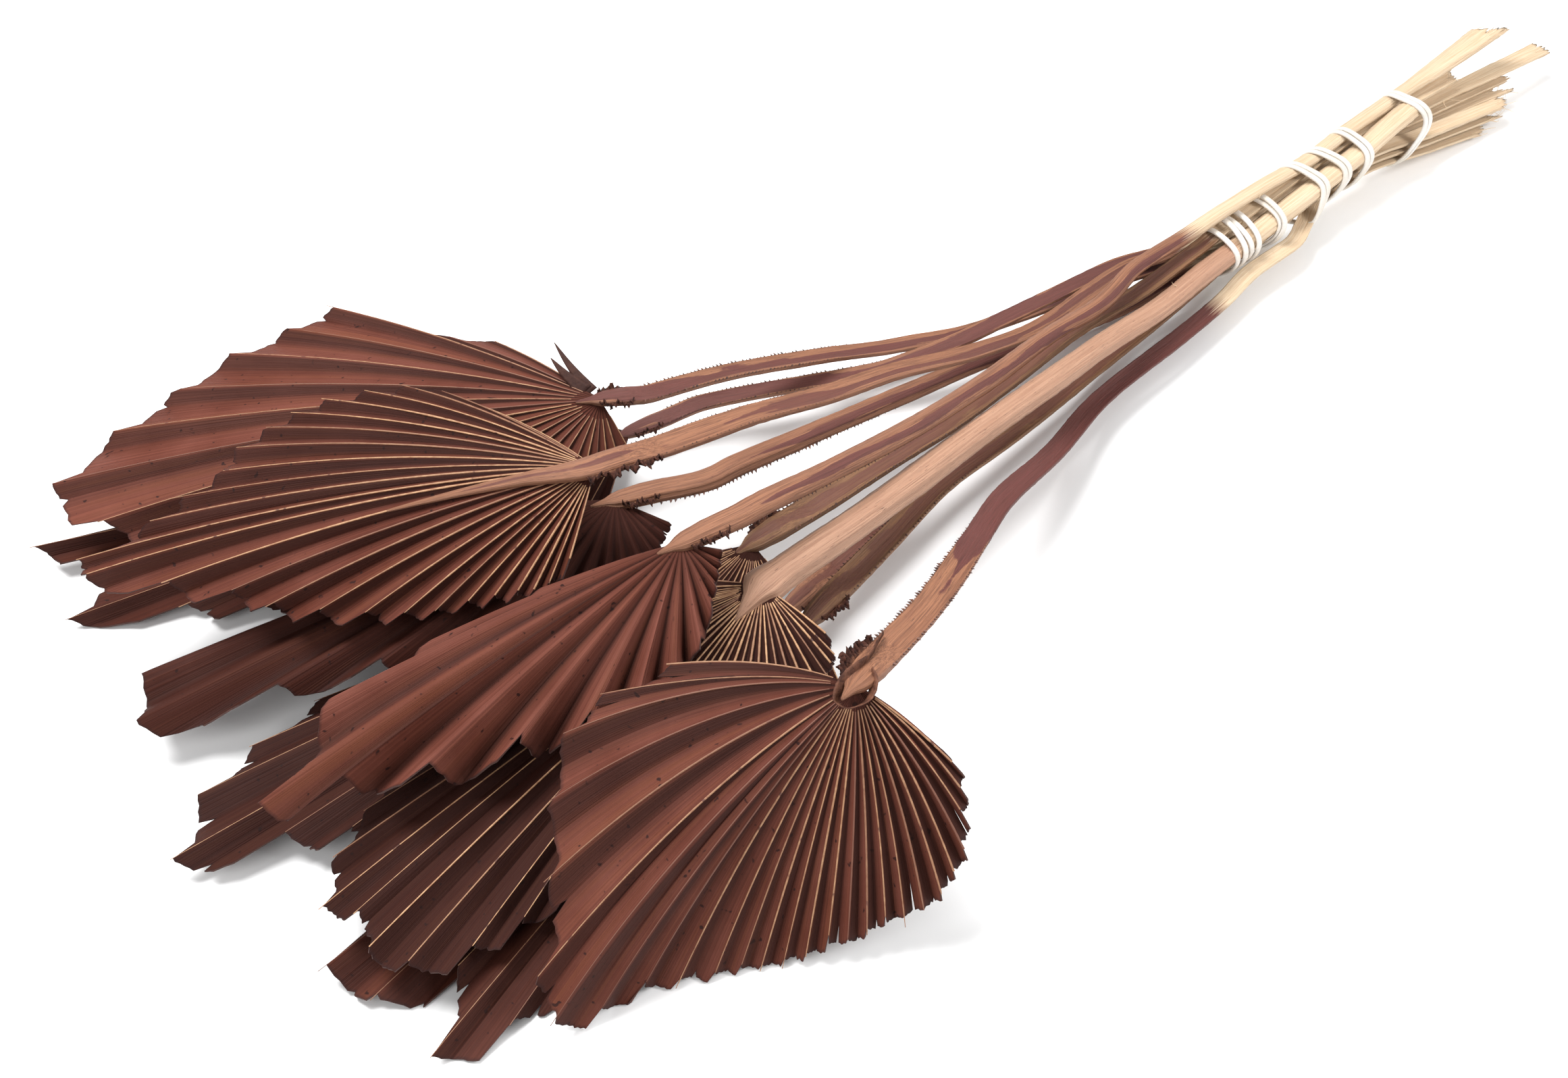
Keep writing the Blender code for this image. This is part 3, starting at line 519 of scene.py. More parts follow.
def dyed_leaf():
    """Dried leaf dyed chocolate brown: veins, mauve with painted sheen, dark specks and edges, painted shade.
    """
    made, tree, shader = shader_tree("dyed_leaf", 0.66, specular=0.15)
    vein = painted(tree, "vein", vector=True)
    place = object_place(tree)
    fine = noise(tree, vein, (16.0, 9.0, 1.0), detail=4.0)
    broad = noise(tree, vein, (2.2, 7.0, 1.0), detail=2.0)
    mottle = noise(tree, place, scale=38.0, detail=4.0)
    brown = mix_colours(tree, between(tree, fine, 0.3, 0.7), (0.062, 0.0125, 0.0062), (0.118, 0.027, 0.0135))
    mauve = mix_colours(tree, between(tree, fine, 0.3, 0.7), (0.118, 0.033, 0.021), (0.205, 0.066, 0.045))
    # Mauve share: the dye's own mauve plus painted sheen, varied by a mottle.
    mauve_share = maths(tree, "ADD", maths(tree, "MULTIPLY", painted(tree, "mauve_and_sheen"), 0.9),
        maths(tree, "MULTIPLY", maths(tree, "SUBTRACT", mottle, 0.5), 1.5))
    colour = mix_colours(tree, between(tree, mauve_share, 0.15, 1.0), brown, mauve)
    streak = maths(tree, "MULTIPLY", between(tree, broad, 0.5, 0.72), 0.5)
    colour = mix_colours(tree, streak, colour, (0.17, 0.052, 0.024))
    speck = noise(tree, place, scale=420.0, detail=1.0)
    colour = mix_colours(tree, between(tree, speck, 0.70, 0.76), colour, (0.03, 0.009, 0.007))
    # Painted shade from the stored share: dark valleys, and leaves lying in the shadow of others.
    painted_shade = maths(tree, "MULTIPLY", painted(tree, "painted_shade"), 0.85)
    colour = mix_colours(tree, painted_shade, colour, (0.014, 0.004, 0.003))
    hub_dark = between(tree, painted(tree, "from_hub"), 4.0, 16.0, 0.45, 0.0)
    colour = mix_colours(tree, hub_dark, colour, (0.04, 0.012, 0.008))
    edge_dark = between(tree, painted(tree, "to_edge"), 0.1, 1.1, 0.6, 0.0)
    colour = mix_colours(tree, edge_dark, colour, (0.02, 0.008, 0.008))
    tree.links.new(colour, shader.inputs["Base Color"])
    add_bump(tree, shader, maths(tree, "ADD", fine, maths(tree, "MULTIPLY", mottle, 0.3)), 0.0006)
    return made


def cut_edge():
    """The nearly black cut edge of a dyed leaf, with its fibres showing across it."""
    made, tree, shader = shader_tree("cut_edge", 0.8)
    place = object_place(tree)
    grain = noise(tree, place, scale=900.0)
    colour = mix_colours(tree, grain, (0.018, 0.008, 0.008), (0.09, 0.034, 0.024))
    tree.links.new(colour, shader.inputs["Base Color"])
    return made


leaf_brown = dyed_leaf()
leaf_edge = cut_edge()
pleating = pleat_tree()
for blade in blades:
    points, shape, stores = smooth_fan(blade)
    faces = grid_faces(*shape)
    sheet = add_mesh("leaf_" + blade["name"], points, faces, leaf_brown, leaf_edge, numbers=stores)
    run_tree(sheet, pleating, leaf_brown, Softness=blade["soft"])
    for corner in sheet.data.vertices:
        corner.co.z = max(corner.co.z, RESTS_AT * MM)
    blade["grid"] = np.array([v.co for v in sheet.data.vertices]).reshape(*shape, 3) / MM - DESIGN_ORIGIN
    blade["up"] = stores["up"].reshape(*shape, 3)
    if leaf_edge.name not in sheet.data.materials:
        sheet.data.materials.append(leaf_edge)
    thicken(sheet, BLADE_THICKNESS, rim_material=1)
    sheet.data.set_sharp_from_angle(angle=math.radians(SHARP_FOLD))
    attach(sheet, "root")
    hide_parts("blade_" + blade["name"])

# Ribs: the hard golden edge along each ridge on the face of a leaf. The dye barely takes on it, and it is
# slightly beaded, with small dark nicks. Each is a thin tube along the ridge, grown into the leaf.
RIB_RADII = {"03": 0.30, "07": 0.33, "10": 0.27, "01": 0.26, "09": 0.28, "06": 0.26, "02": 0.24, "08": 0.24}
RIB_DYED = {"01": 0.45, "02": 0.4, "03": 0.34, "07": 0.15, "08": 0.4, "10": 0.5, "06": 0.25, "09": 0.3}
RIB_STARTS = 6.0  # from the hub
RIB_STANDS_UP = 0.16
SPUR_LENGTH, NO_SPUR, LEAST_SPUR = 3.2, 0.45, 0.3  # where a rib stands out past the edge of the leaf


def rib_tree():
    """Lines become tubes whose radius is stored at each point and swells a little, like a row of beads."""
    tree, given = new_geometry_tree("ribs", {"Beading": 0.4, "Bead scale": 650.0})
    lines = add_node(tree, "GeometryNodeMeshToCurve", {"Mesh": given.outputs["Geometry"]})
    place = add_node(tree, "GeometryNodeInputPosition")
    feeds = {"Vector": place.outputs[0], "Scale": given.outputs["Bead scale"]}
    beads = add_node(tree, "ShaderNodeTexNoise", feeds)
    swell = maths(tree, "MULTIPLY", maths(tree, "SUBTRACT", beads.outputs[0], 0.5), given.outputs["Beading"])
    radius = maths(tree, "MULTIPLY", stored(tree, "radius"), maths(tree, "ADD", swell, 1.0))
    sized = add_node(tree, "GeometryNodeSetCurveRadius", {"Curve": lines.outputs[0], "Radius": radius})
    ring = add_node(tree, "GeometryNodeCurvePrimitiveCircle", {"Resolution": 6, "Radius": 1.0})
    feeds = {"Curve": sized.outputs[0], "Profile Curve": ring.outputs[0], "Scale": radius, "Fill Caps": True}
    tube = add_node(tree, "GeometryNodeCurveToMesh", feeds)
    end_tree(tree, given, tube.outputs[0])
    return tree


def golden_rib():
    made, tree, shader = shader_tree("golden_rib", 0.55)
    place = object_place(tree)
    grain = noise(tree, place, scale=500.0, detail=3.0)
    colour = mix_colours(tree, between(tree, grain, 0.3, 0.7), (0.36, 0.17, 0.08), (0.66, 0.40, 0.21))
    nick = noise(tree, place, scale=230.0, detail=2.0)
    colour = mix_colours(tree, between(tree, nick, 0.64, 0.70), colour, (0.06, 0.022, 0.014))
    colour = mix_colours(tree, painted(tree, "dyed"), colour, (0.15, 0.055, 0.032))
    tree.links.new(colour, shader.inputs["Base Color"])
    add_bump(tree, shader, grain, 0.0003)
    return made


rib_gold = golden_rib()
rib_growing = rib_tree()
for blade in blades:
    if blade["name"] not in RIB_RADII:
        continue
    grid, up = blade["grid"], blade["up"]
    lines, radii, dyed = [], [], []
    random = np.random.default_rng(200 + int(blade["name"]))
    for column in range(0, grid.shape[1], 2 * ACROSS_A_FOLD):
        line = grid[:, column]
        reach = np.concatenate([[0], np.cumsum(np.linalg.norm(np.diff(line, axis=0), axis=1))]) + HUB_RADIUS
        kept = reach > RIB_STARTS
        line = (line + RIB_STANDS_UP * up[:, column])[kept]
        reach = reach[kept]
        spur = SPUR_LENGTH * max(random.random() - NO_SPUR, 0) / (1 - NO_SPUR)
        if spur > LEAST_SPUR:
            line = np.vstack([line, line[-1] + unit(line[-1] - line[-3]) * spur])
            reach = np.append(reach, reach[-1] + spur)
        lines.append(line)
        thick = RIB_RADII[blade["name"]] * (0.75 + 0.4 * random.random())
        ends_at = max(reach[-1], 61)
        radii += list(thick * np.interp(reach, (RIB_STARTS, 22, 60, ends_at), (0.7, 1.0, 0.95, 0.45)) * MM)
        dyed += [0.7 * random.random() ** 2 + RIB_DYED.get(blade["name"], 0.0)] * len(line)
    ribs = add_lines("ribs_" + blade["name"], lines, radius=radii, dyed=dyed)
    run_tree(ribs, rib_growing, rib_gold)
    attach(ribs, "root")
    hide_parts("blade_" + blade["name"])

# Stalks: one to each leaf, tough and dry, with a round back and a shallow channel, grown on into the blade as
# its midrib. The dye stained them tan, with maroon in the channels, and never reached the torn cream ends. A
# route runs from the cut end to the hub, in design millimetres.
TIED_HALF_SIZES = (3.2, 1.6)
WIDENS_FROM, WIDEST_AT = 0.45, 0.95
KNUCKLE_BACK, STALK_GAP, END_PIECE = 8.0, 0.3, 2.0
RING_SPACING = 2.4
BROAD_END = 60.0  # how far in from the cut end a stalk is still broader than where it is tied
BACK_POINTS, CHANNEL_POINTS = 24, 16
LONG_MIDRIB = 10.0  # a longer one follows the leaf's middle ridge, a shorter one goes straight on
HUB_HALF_WIDTH, MIDRIB_TIP = 4.4, 0.4
CHANNEL_FADES = 14  # over this last stretch before the joint
FIBRE_RELIEF, FINE_RELIEF = 0.035, 0.012  # shares of a stalk's size

# Half sizes are those beside the leaf. Rib is how far the midrib runs past the hub, dye_ends is the x where
# the dye stops, and torn is the depth of the torn end. A soaked pair holds distances back from the leaf, and
# how much more or less maroon the channel is there.
stalks = [
    {
        "name": "01", "half_width": 3.5, "half_height": 2.2, "rib": 8, "dye_ends": 196, "maroon": 0.9,
        "torn": 9,
        "soaked": ((0, 40, 300), (0.1, -0.05, 0.1)),
        "route": ((384, 4.5, 7.6), (325, 7.2, 12.6), (284, 8.3, 16.9), (259, 6.8, 15.4),
            (233, 5.3, 13.4), (212, 3.8, 12.4), (190, 9.5, 11.9), (165, 16.5, 11.3), (128, 26, 9),
            (107, 30, 10), (84, 38, 12), (53, 44, 20), (11, 48, 32), (-15, 50, 37)),
    },
    {
        "name": "02", "half_width": 3.3, "half_height": 2.1, "rib": 8, "dye_ends": 200, "maroon": 0.9,
        "torn": 12,
        "soaked": ((0, 40, 300), (0.2, 0.3, 0.4)),
        "route": ((386, 7.5, 10.4), (325, 8, 16), (284, 8.3, 19.7), (259, 6.8, 18.2), (233, 5.3, 16.2),
            (212, 3.8, 15.2), (190, 12, 15.6), (165, 18.5, 15.6), (103, 21, 18), (83, 25, 17),
            (66, 32, 14), (13, 56, 14)),
    },
    {
        "name": "03", "broad_end": 1.2, "half_width": 4.3, "half_height": 2.7, "rib": 62, "dye_ends": 193,
        "maroon": 0.8, "torn": 6,
        "soaked": ((0, 60, 300), (-0.6, -0.3, -0.1)),
        "route": ((412, 9, 12), (325, 8.8, 19.4), (284, 8.3, 22.5), (259, 6.8, 21), (233, 5.3, 19),
            (212, 3.8, 18), (190, 7, 18.8), (165, 10.5, 20.6), (129, 9, 18), (90, 7, 26), (55, 8, 36),
            (20, 6, 46), (-11, 7, 54), (-40, 9, 58)),
    },
    {
        "name": "04", "half_width": 4.2, "half_height": 2.3, "rib": 8, "dye_ends": 198, "maroon": 0.9,
        "torn": 8,
        "soaked": ((0, 40, 60, 300), (-1.0, -0.3, 0.2, 0.1)),
        "back_up": True,
        "route": ((378, 4.5, 4), (325, 7.2, 8.8), (284, 8.3, 13.4), (259, 6.8, 11.9), (233, 5.3, 9.7),
            (212, 3.8, 8.6), (190, 5.5, 7.7), (165, 8, 6), (117, 11, 12), (89, 12, 16), (48, 12, 22),
            (14, 12, 27), (-17, 12, 31)),
    },
    {
        "name": "05", "broad_end": 2.4, "half_width": 4.2, "half_height": 2.4, "rib": 8, "dye_ends": 192,
        "maroon": 0.9, "torn": 12,
        "soaked": ((0, 25, 60, 300), (-1.0, 0.0, 0.2, -0.1)),
        "back_up": True,
        "route": ((386, 17, 30), (325, 13, 27.5), (284, 9, 28.4), (259, 7.5, 26.4), (246, 7, 26.9),
            (233, 6.6, 27.5), (212, 6.3, 27), (190, 5.2, 26.4), (165, 3.5, 27.4), (141, -3, 28),
            (110, -8, 33), (64, -19, 42), (24, -26, 50), (-10, -29, 56), (-40, -30, 60)),
    },
    {
        "name": "06", "broad_end": 1.2, "half_width": 4.6, "half_height": 2.5, "rib": 8, "dye_ends": 205,
        "maroon": 0.6, "torn": 8,
        "route": ((358, 13, 21.5), (325, 10.5, 24), (284, 8.2, 25.5), (259, 6.8, 24.2), (233, 5.3, 22.4),
            (212, 3.8, 21.3), (190, 0.8, 21.4), (165, -0.9, 19.8), (129, -3, 22), (86, -10, 25),
            (46, -15, 28), (13, -15, 27)),
    },
    {
        "name": "07", "half_width": 5.2, "half_height": 4, "tied": (4.2, 2.4), "flared": 1.5, "rib": 15,
        "dye_ends": 208, "maroon": 0.0, "torn": 3,
        "back_up": True,
        "route": ((318, 3.5, 28.6), (300, 1.6, 27.5), (284, 0.5, 24.4), (259, -0.9, 21.6),
            (233, -2.4, 19.2), (212, -3.9, 17.6), (190, -7.4, 19.4), (165, -12, 21), (124, -19, 28),
            (93, -25, 33), (52, -31, 37), (14, -37, 40), (-15, -40, 41)),
    },
    {
        "name": "08", "half_width": 4, "half_height": 2.2, "rib": 8, "dye_ends": 203, "maroon": 0.7,
        "torn": 10,
        "route": ((370, -2.2, 5), (325, 0, 10.3), (284, 1.7, 16), (259, 0.2, 16.2), (233, -1.3, 14),
            (212, -2.8, 12.4), (190, -3, 10), (165, -3, 7), (109, -13, 9), (52, -20, 12), (14, -27, 14)),
    },
    {
        "name": "09", "half_width": 4.2, "half_height": 2.3, "rib": 8, "dye_ends": 200, "maroon": 0.6,
        "torn": 9,
        "route": ((374, -2.2, 8.6), (325, 0.5, 13.4), (284, 1.7, 19.2), (259, 0.2, 19),
            (233, -1.3, 16.8), (212, -2.8, 15.2), (190, -6.2, 14), (165, -9.5, 13), (115, -18, 16),
            (71, -26, 20), (43, -30, 23), (9, -40, 26)),
    },
    {
        "name": "10", "broad_end": 0.8, "half_width": 4.6, "half_height": 2.4, "rib": 8, "dye_ends": 187,
        "maroon": 0.95, "torn": 8,
        "soaked": ((0, 60, 95, 300), (-1.0, -0.7, 1.1, 1.4)),
        "route": ((362, -2, 1.4), (325, -0.5, 7.2), (284, 1.7, 12.8), (259, 0.2, 13.4),
            (246, -5.8, 11.4), (233, -10.9, 11.2), (212, -11.8, 10.8), (190, -16, 9.8), (165, -20, 10.5),
            (120, -26, 12), (79, -41, 20), (44, -53, 30), (19, -66, 38), (-22, -88, 54)),
    },
]


def stalk_section(channel):
    """Corners of a stalk's section as shares of its half sizes. Channel: 1 on the stalk, 0 on the midrib."""
    around = np.linspace(0, math.pi, BACK_POINTS)
    back_y = -np.cos(around)
    back_z = 0.5 - 1.5 * np.sin(around) ** 0.8
    across = np.linspace(1, -1, CHANNEL_POINTS + 2)[1:-1]
    hollow = 0.5 - 0.34 * (1 - np.abs(across) ** 2.4)
    crown = 0.5 + 0.6 * (1 - across**2) ** 0.6
    top_z = hollow * channel + crown * (1 - channel)
    return np.concatenate([back_y, across]), np.concatenate([back_z, top_z])


def stalk_line(stalk, blade):
    """The stalk's centre line and half sizes, from the cut end past the hub to the end of the midrib."""
    hub = np.array(blade["hub"], float)
    back = unit(np.subtract(stalk["route"][-1], hub).astype(float))
    joint = hub + back * (KNUCKLE_BACK + STALK_GAP)
    route = np.array([*stalk["route"], joint + back * END_PIECE, joint], float)
    middle = 2 * (blade["ridges"] // 2) * ACROSS_A_FOLD
    ridge = blade["grid"][:, middle]
    reach = np.concatenate([[0], np.cumsum(np.linalg.norm(np.diff(ridge, axis=0), axis=1))]) + HUB_RADIUS
    along_ridge = lambda length: np.array([np.interp(length, reach, ridge[:, k]) for k in range(3)])
    shares = (0.35, 0.6, 0.85, 1.0)
    midrib = [along_ridge(stalk["rib"] * share) for share in shares]
    if stalk["rib"] < LONG_MIDRIB:
        midrib = [hub - back * stalk["rib"] * share for share in shares]
    knots = np.vstack([route, hub, midrib])
    at = np.concatenate([[0], np.cumsum(np.linalg.norm(np.diff(knots, axis=0), axis=1))])
    count = round(at[-1] / RING_SPACING) + 1
    place = np.linspace(0, at[-1], count)
    centres = curve_through(at, knots, place)
    joint_at = at[len(route) - 1]
    grown = np.clip((place / joint_at - WIDENS_FROM) / (WIDEST_AT - WIDENS_FROM), 0, 1) ** 1.3
    tied = stalk.get("tied", TIED_HALF_SIZES)
    half_width = tied[0] + (stalk["half_width"] - tied[0]) * grown
    half_height = tied[1] + (stalk["half_height"] - tied[1]) * grown
    half_width += stalk.get("broad_end", 0.0) * np.clip(1 - place / BROAD_END, 0, 1) ** 0.7
    tail = (joint_at, at[len(route)], at[len(route)] + 0.35 * stalk["rib"], at[-1])
    flared = stalk.get("flared", 1.0)
    at_joint = half_width[place <= joint_at][-1]
    at_hub = HUB_HALF_WIDTH * flared if stalk["rib"] > LONG_MIDRIB else 0.8 * at_joint
    widths = (at_joint, at_hub, 0.5 * at_hub, MIDRIB_TIP)
    tall = half_height[place <= joint_at][-1]
    heights = (tall, 0.85 * tall, 0.55 * tall, MIDRIB_TIP)
    past = place > joint_at - 1
    half_width[past] = np.interp(place[past], tail, widths)
    half_height[past] = np.interp(place[past], tail, heights)
    return centres, place, joint_at, half_width, half_height


def stalk_mesh(stalk, blade):
    """Points of a stalk ring by ring, its torn end included, and what each point stores."""
    random = np.random.default_rng(300 + int(stalk["name"]))
    centres, place, joint_at, half_width, half_height = stalk_line(stalk, blade)
    ahead = unit(np.gradient(centres, axis=0))
    side = unit(np.cross((0.0, 0.0, 1.0), ahead))
    above = np.cross(ahead, side)
    turn = -1.0 if stalk.get("back_up") else 1.0
    sides = BACK_POINTS + CHANNEL_POINTS
    channel = np.clip((joint_at - place) / CHANNEL_FADES, 0, 1)
    random.normal(0, 1, (len(place), 5))  # not used, but the draws below depend on it
    angle = np.arange(sides) / sides * 2 * math.pi
    fibre = random.normal(0, FIBRE_RELIEF, sides)[None]
    fibre = fibre + FINE_RELIEF * random.normal(0, 1, (len(place), sides))
    torn = stalk["torn"] * (0.5 + 0.5 * np.sin(angle + random.uniform(0, 6.28)))
    torn += stalk["torn"] * 0.5 * random.random(sides) * (random.random(sides) < 0.5)
    torn -= torn.min()
    points = np.empty((len(place), sides, 3))
    stores = {"grain": [], "channel": [], "past_dye": []}
    reach = max(torn.max() * 1.4, 6.0)
    for k in range(len(place)):
        y, z = stalk_section(channel[k])
        swell = 1 + fibre[k] + 0.02 * math.sin(place[k] * 0.11 + int(stalk["name"]))
        slide = torn * np.clip(1 - place[k] / reach, 0, 1)
        points[k] = (centres[k] + turn * (y * half_width[k] * swell)[:, None] * side[k]
            + turn * (z * half_height[k] * swell)[:, None] * above[k] + slide[:, None] * ahead[k])
        stores["grain"] += [(y[j] * 3, z[j] * 3, place[k] * 0.03) for j in range(sides)]
        in_channel = np.where(np.arange(sides) >= BACK_POINTS, 1 - np.abs(y), -0.3 * np.clip(-z, 0, 1))
        if stalk.get("back_up"):
            in_channel = 0.9 - 2.2 * np.abs(turn * y - 0.5)
        beyond = np.interp(joint_at - place[k], *stalk.get("soaked", ((0, 300), (0.0, 0.0))))
        stores["channel"] += list(in_channel + beyond)
        stores["past_dye"] += list(points[k][:, 0] - stalk["dye_ends"])
    line = (centres, side, above, place, joint_at, half_width, half_height)
    return points, (len(place), sides), stores, line


def add_cap(points, faces, stores, ring, inward, depth, random):
    """Closes the ring of points at an end with two smaller rings set in from it, like torn pith."""
    sides = len(ring)
    before = list(ring)
    corners = np.array([points[k] for k in before])
    middle = corners.mean(axis=0)
    for share, sunk in ((0.72, 0.35), (0.35, 0.8)):
        first = len(points)
        for k, corner in enumerate(corners):
            sunk_here = sunk + 0.5 * random.random()
            points.append(middle + (corner - middle) * share + inward * depth * sunk_here)
            for label in stores:
                stores[label].append(stores[label][before[k]])
        now = list(range(first, first + sides))
        faces += [(before[k], now[k], now[(k + 1) % sides], before[(k + 1) % sides]) for k in range(sides)]
        before = now
    points.append(middle + inward * depth)
    for label in stores:
        stores[label].append(stores[label][before[0]])
    faces += [(before[k], len(points) - 1, before[(k + 1) % sides]) for k in range(sides)]


def dried_stalk(name, tan_dark, tan_light, lines=0.7):
    """Fibrous stalk: tan with brown flecks, maroon where dye pooled, and cream past the dye's edge."""
    made, tree, shader = shader_tree(name, 0.6)
    grain = painted(tree, "grain", vector=True)
    place = object_place(tree)
    fibre = noise(tree, grain, (2.6, 2.6, 1.3), detail=4.0)
    fine = noise(tree, grain, (7.0, 7.0, 2.6), detail=3.0)
    tan = mix_colours(tree, between(tree, fibre, 0.3, 0.7), tan_dark, tan_light)
    lined = maths(tree, "MULTIPLY", between(tree, fine, 0.5, 0.66), lines)
    tan = mix_colours(tree, lined, tan, (0.095, 0.036, 0.020))
    fleck = noise(tree, grain, (6.0, 6.0, 9.0), detail=2.0)
    tan = mix_colours(tree, between(tree, fleck, 0.66, 0.72), tan, (0.07, 0.028, 0.018))
    jag = noise(tree, place, scale=300.0, detail=3.0)
    streak = noise(tree, grain, (0.35, 0.35, 0.9), detail=1.0)
    edge = maths(tree, "ADD", maths(tree, "MULTIPLY", maths(tree, "SUBTRACT", streak, 0.5), 2.2),
        maths(tree, "MULTIPLY", maths(tree, "SUBTRACT", jag, 0.5), 0.25))
    pooled = maths(tree, "ADD", painted(tree, "channel"), edge)
    maroon = mix_colours(tree, between(tree, fine, 0.3, 0.7), (0.060, 0.013, 0.011), (0.130, 0.033, 0.028))
    pooled = maths(tree, "MULTIPLY", between(tree, pooled, 0.36, 0.44), painted(tree, "maroon"))
    tan = mix_colours(tree, pooled, tan, maroon)
    cream = mix_colours(tree, between(tree, fibre, 0.3, 0.7), (0.55, 0.385, 0.235), (0.68, 0.55, 0.395))
    aged = maths(tree, "MULTIPLY", between(tree, fine, 0.52, 0.8), 0.6)
    cream = mix_colours(tree, aged, cream, (0.50, 0.30, 0.155))
    ragged = maths(tree, "MULTIPLY", maths(tree, "SUBTRACT", fibre, 0.5), 16.0)
    bare = between(tree, maths(tree, "ADD", painted(tree, "past_dye"), ragged), -5.0, 5.0)
    tree.links.new(mix_colours(tree, bare, tan, cream), shader.inputs["Base Color"])
    add_bump(tree, shader, maths(tree, "ADD", fibre, maths(tree, "MULTIPLY", fine, 0.5)), 0.0007)
    return made


stalk_tan = dried_stalk("stalk_tan", (0.165, 0.062, 0.032), (0.34, 0.150, 0.077))
stalk_ochre = dried_stalk("stalk_ochre", (0.12, 0.052, 0.022), (0.26, 0.125, 0.055))
stalk_pink = dried_stalk("stalk_pink", (0.33, 0.170, 0.104), (0.46, 0.265, 0.172), lines=0.22)
stalk_looks = {"07": stalk_pink, "06": stalk_ochre, "09": stalk_ochre}
for stalk, blade in zip(stalks, blades):
    points, shape, stores, line = stalk_mesh(stalk, blade)
    stalk["line"], stalk["points"] = line, points
    faces = grid_faces(*shape, closed=True)
    corners = list(points.reshape(-1, 3))
    random = np.random.default_rng(350 + int(stalk["name"]))
    ahead = unit(line[0][1] - line[0][0])
    add_cap(corners, faces, stores, range(shape[1]), ahead, 2.2, random)
    faces.append(tuple(range((shape[0] - 1) * shape[1], shape[0] * shape[1])))
    stores["maroon"] = np.full(len(corners), stalk["maroon"])
    wood = stalk_looks.get(stalk["name"], stalk_tan)
    piece = add_mesh("petiole_" + stalk["name"], corners, faces, wood, numbers=stores)
    turn_faces_out(piece)
    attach(piece, "root")
    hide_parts("stalk_" + stalk["name"])

# Collars: where a stalk meets its leaf, its torn lip has dried into a dark crumpled frill along one side.
# Each is a thin strip, pleated much finer than the leaf by the same tree, with a frayed edge.
FRILL_RISE = 0.95
FRILL_ROWS, FRILL_CELLS = 7, 4  # rows from its foot to its edge, and cells between one fold line and the next
FRILL_THICKNESS = 0.35
FRILLS = (
    # leaf, side (1 near, -1 far), start past the joint, length back along the stalk, width, folds
    ("03", 1, 12, 23, 6.0, 14), ("10", -1, 8, 20, 4.2, 15), ("01", 1, 9, 11, 2.4, 8),
    ("01", -1, 9, 9, 2.0, 6), ("04", 1, 7, 12, 2.6, 8), ("05", 1, 7, 13, 2.4, 9), ("06", -1, 7, 13, 2.6, 8),
    ("09", 1, 7, 12, 2.6, 8), ("02", 1, 7, 10, 2.2, 7), ("08", 1, 7, 10, 2.2, 7),
)


def crumpled_lip():
    """Dark brown torn leaf, nearly black at its frayed edge, with paler fibres near its foot."""
    made, tree, shader = shader_tree("crumpled_lip", 0.75, specular=0.2)
    place = object_place(tree)
    grain = noise(tree, place, scale=700.0, detail=4.0)
    dark = mix_colours(tree, between(tree, grain, 0.35, 0.65), (0.016, 0.006, 0.005), (0.085, 0.030, 0.019))
    foot = mix_colours(tree, between(tree, grain, 0.35, 0.65), (0.07, 0.026, 0.016), (0.24, 0.11, 0.06))
    colour = mix_colours(tree, between(tree, painted(tree, "out"), 0.05, 0.5), foot, dark)
    tree.links.new(colour, shader.inputs["Base Color"])
    add_bump(tree, shader, grain, 0.0006)
    return made


def frill_strip(stalk, near, past, back, width, folds, random):
    """A strip that stands out from a stalk's side, before it is pleated, and what each point stores."""
    centres, side, above, place, joint_at, half_width, half_height = stalk["line"]
    fold = np.linspace(0, 2 * folds, 2 * folds * FRILL_CELLS + 1)
    at = joint_at + past - fold / (2 * folds) * back
    pick = lambda values: np.stack([np.interp(at, place, v) for v in values.T], axis=-1)
    centre, beside, over = pick(centres), near * pick(side), pick(above)
    foot = centre + 0.92 * np.interp(at, place, half_width)[:, None] * beside
    foot += 0.25 * np.interp(at, place, half_height)[:, None] * over
    outward = unit(0.9 * beside + 0.5 * over)
    ragged = np.interp(fold, np.arange(2 * folds + 1), random.uniform(0.55, 1.25, 2 * folds + 1))
    length = width * np.sin(math.pi * (0.07 + 0.86 * fold / (2 * folds))) ** 0.6 * ragged
    share = np.linspace(0, 1, FRILL_ROWS)
    reach = share[:, None] * length[None]
    points = foot[None] + outward[None] * reach[..., None]
    flow = unit(np.cross(outward, unit(np.gradient(centre, axis=0))))
    wave = np.sin(fold * 0.9 + random.uniform(0, 6))
    points += flow[None] * (0.9 * share[:, None] ** 2 * wave[None])[..., None]
    points += random.normal(0, 0.13, points.shape) * share[:, None, None]
    lift = flow[None] * (FRILL_RISE * share[:, None] * np.ones(len(fold)))[..., None] * MM
    shape = reach.shape
    stores = {
        "fold": np.broadcast_to(fold, shape).ravel(),
        "bulge": np.full(reach.size, 0.5),
        "lift": lift.reshape(-1, 3),
        "up": np.broadcast_to(flow, (*shape, 3)).reshape(-1, 3),
        "open": np.broadcast_to(share[:, None], shape).ravel(),
        "vein": np.stack([np.broadcast_to(fold, shape), reach * MM, np.zeros(shape)], axis=-1).reshape(-1, 3),
        "out": np.broadcast_to(share[:, None], shape).ravel(),
    }
    return points.reshape(-1, 3), shape, stores


lip_dark = crumpled_lip()
stalk_of = {stalk["name"]: stalk for stalk in stalks}
for number, (name, near, past, back, width, folds) in enumerate(FRILLS):
    random = np.random.default_rng(400 + number)
    points, shape, stores = frill_strip(stalk_of[name], near, past, back, width, folds, random)
    frill = add_mesh("frill_%s_%d" % (name, number), points, grid_faces(*shape), lip_dark, numbers=stores)
    run_tree(frill, pleating, lip_dark, Softness=0.2, Crease=0.0004, Sway=0.0006)
    thicken(frill, FRILL_THICKNESS)
    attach(frill, "root")
    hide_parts("stalk_" + name)

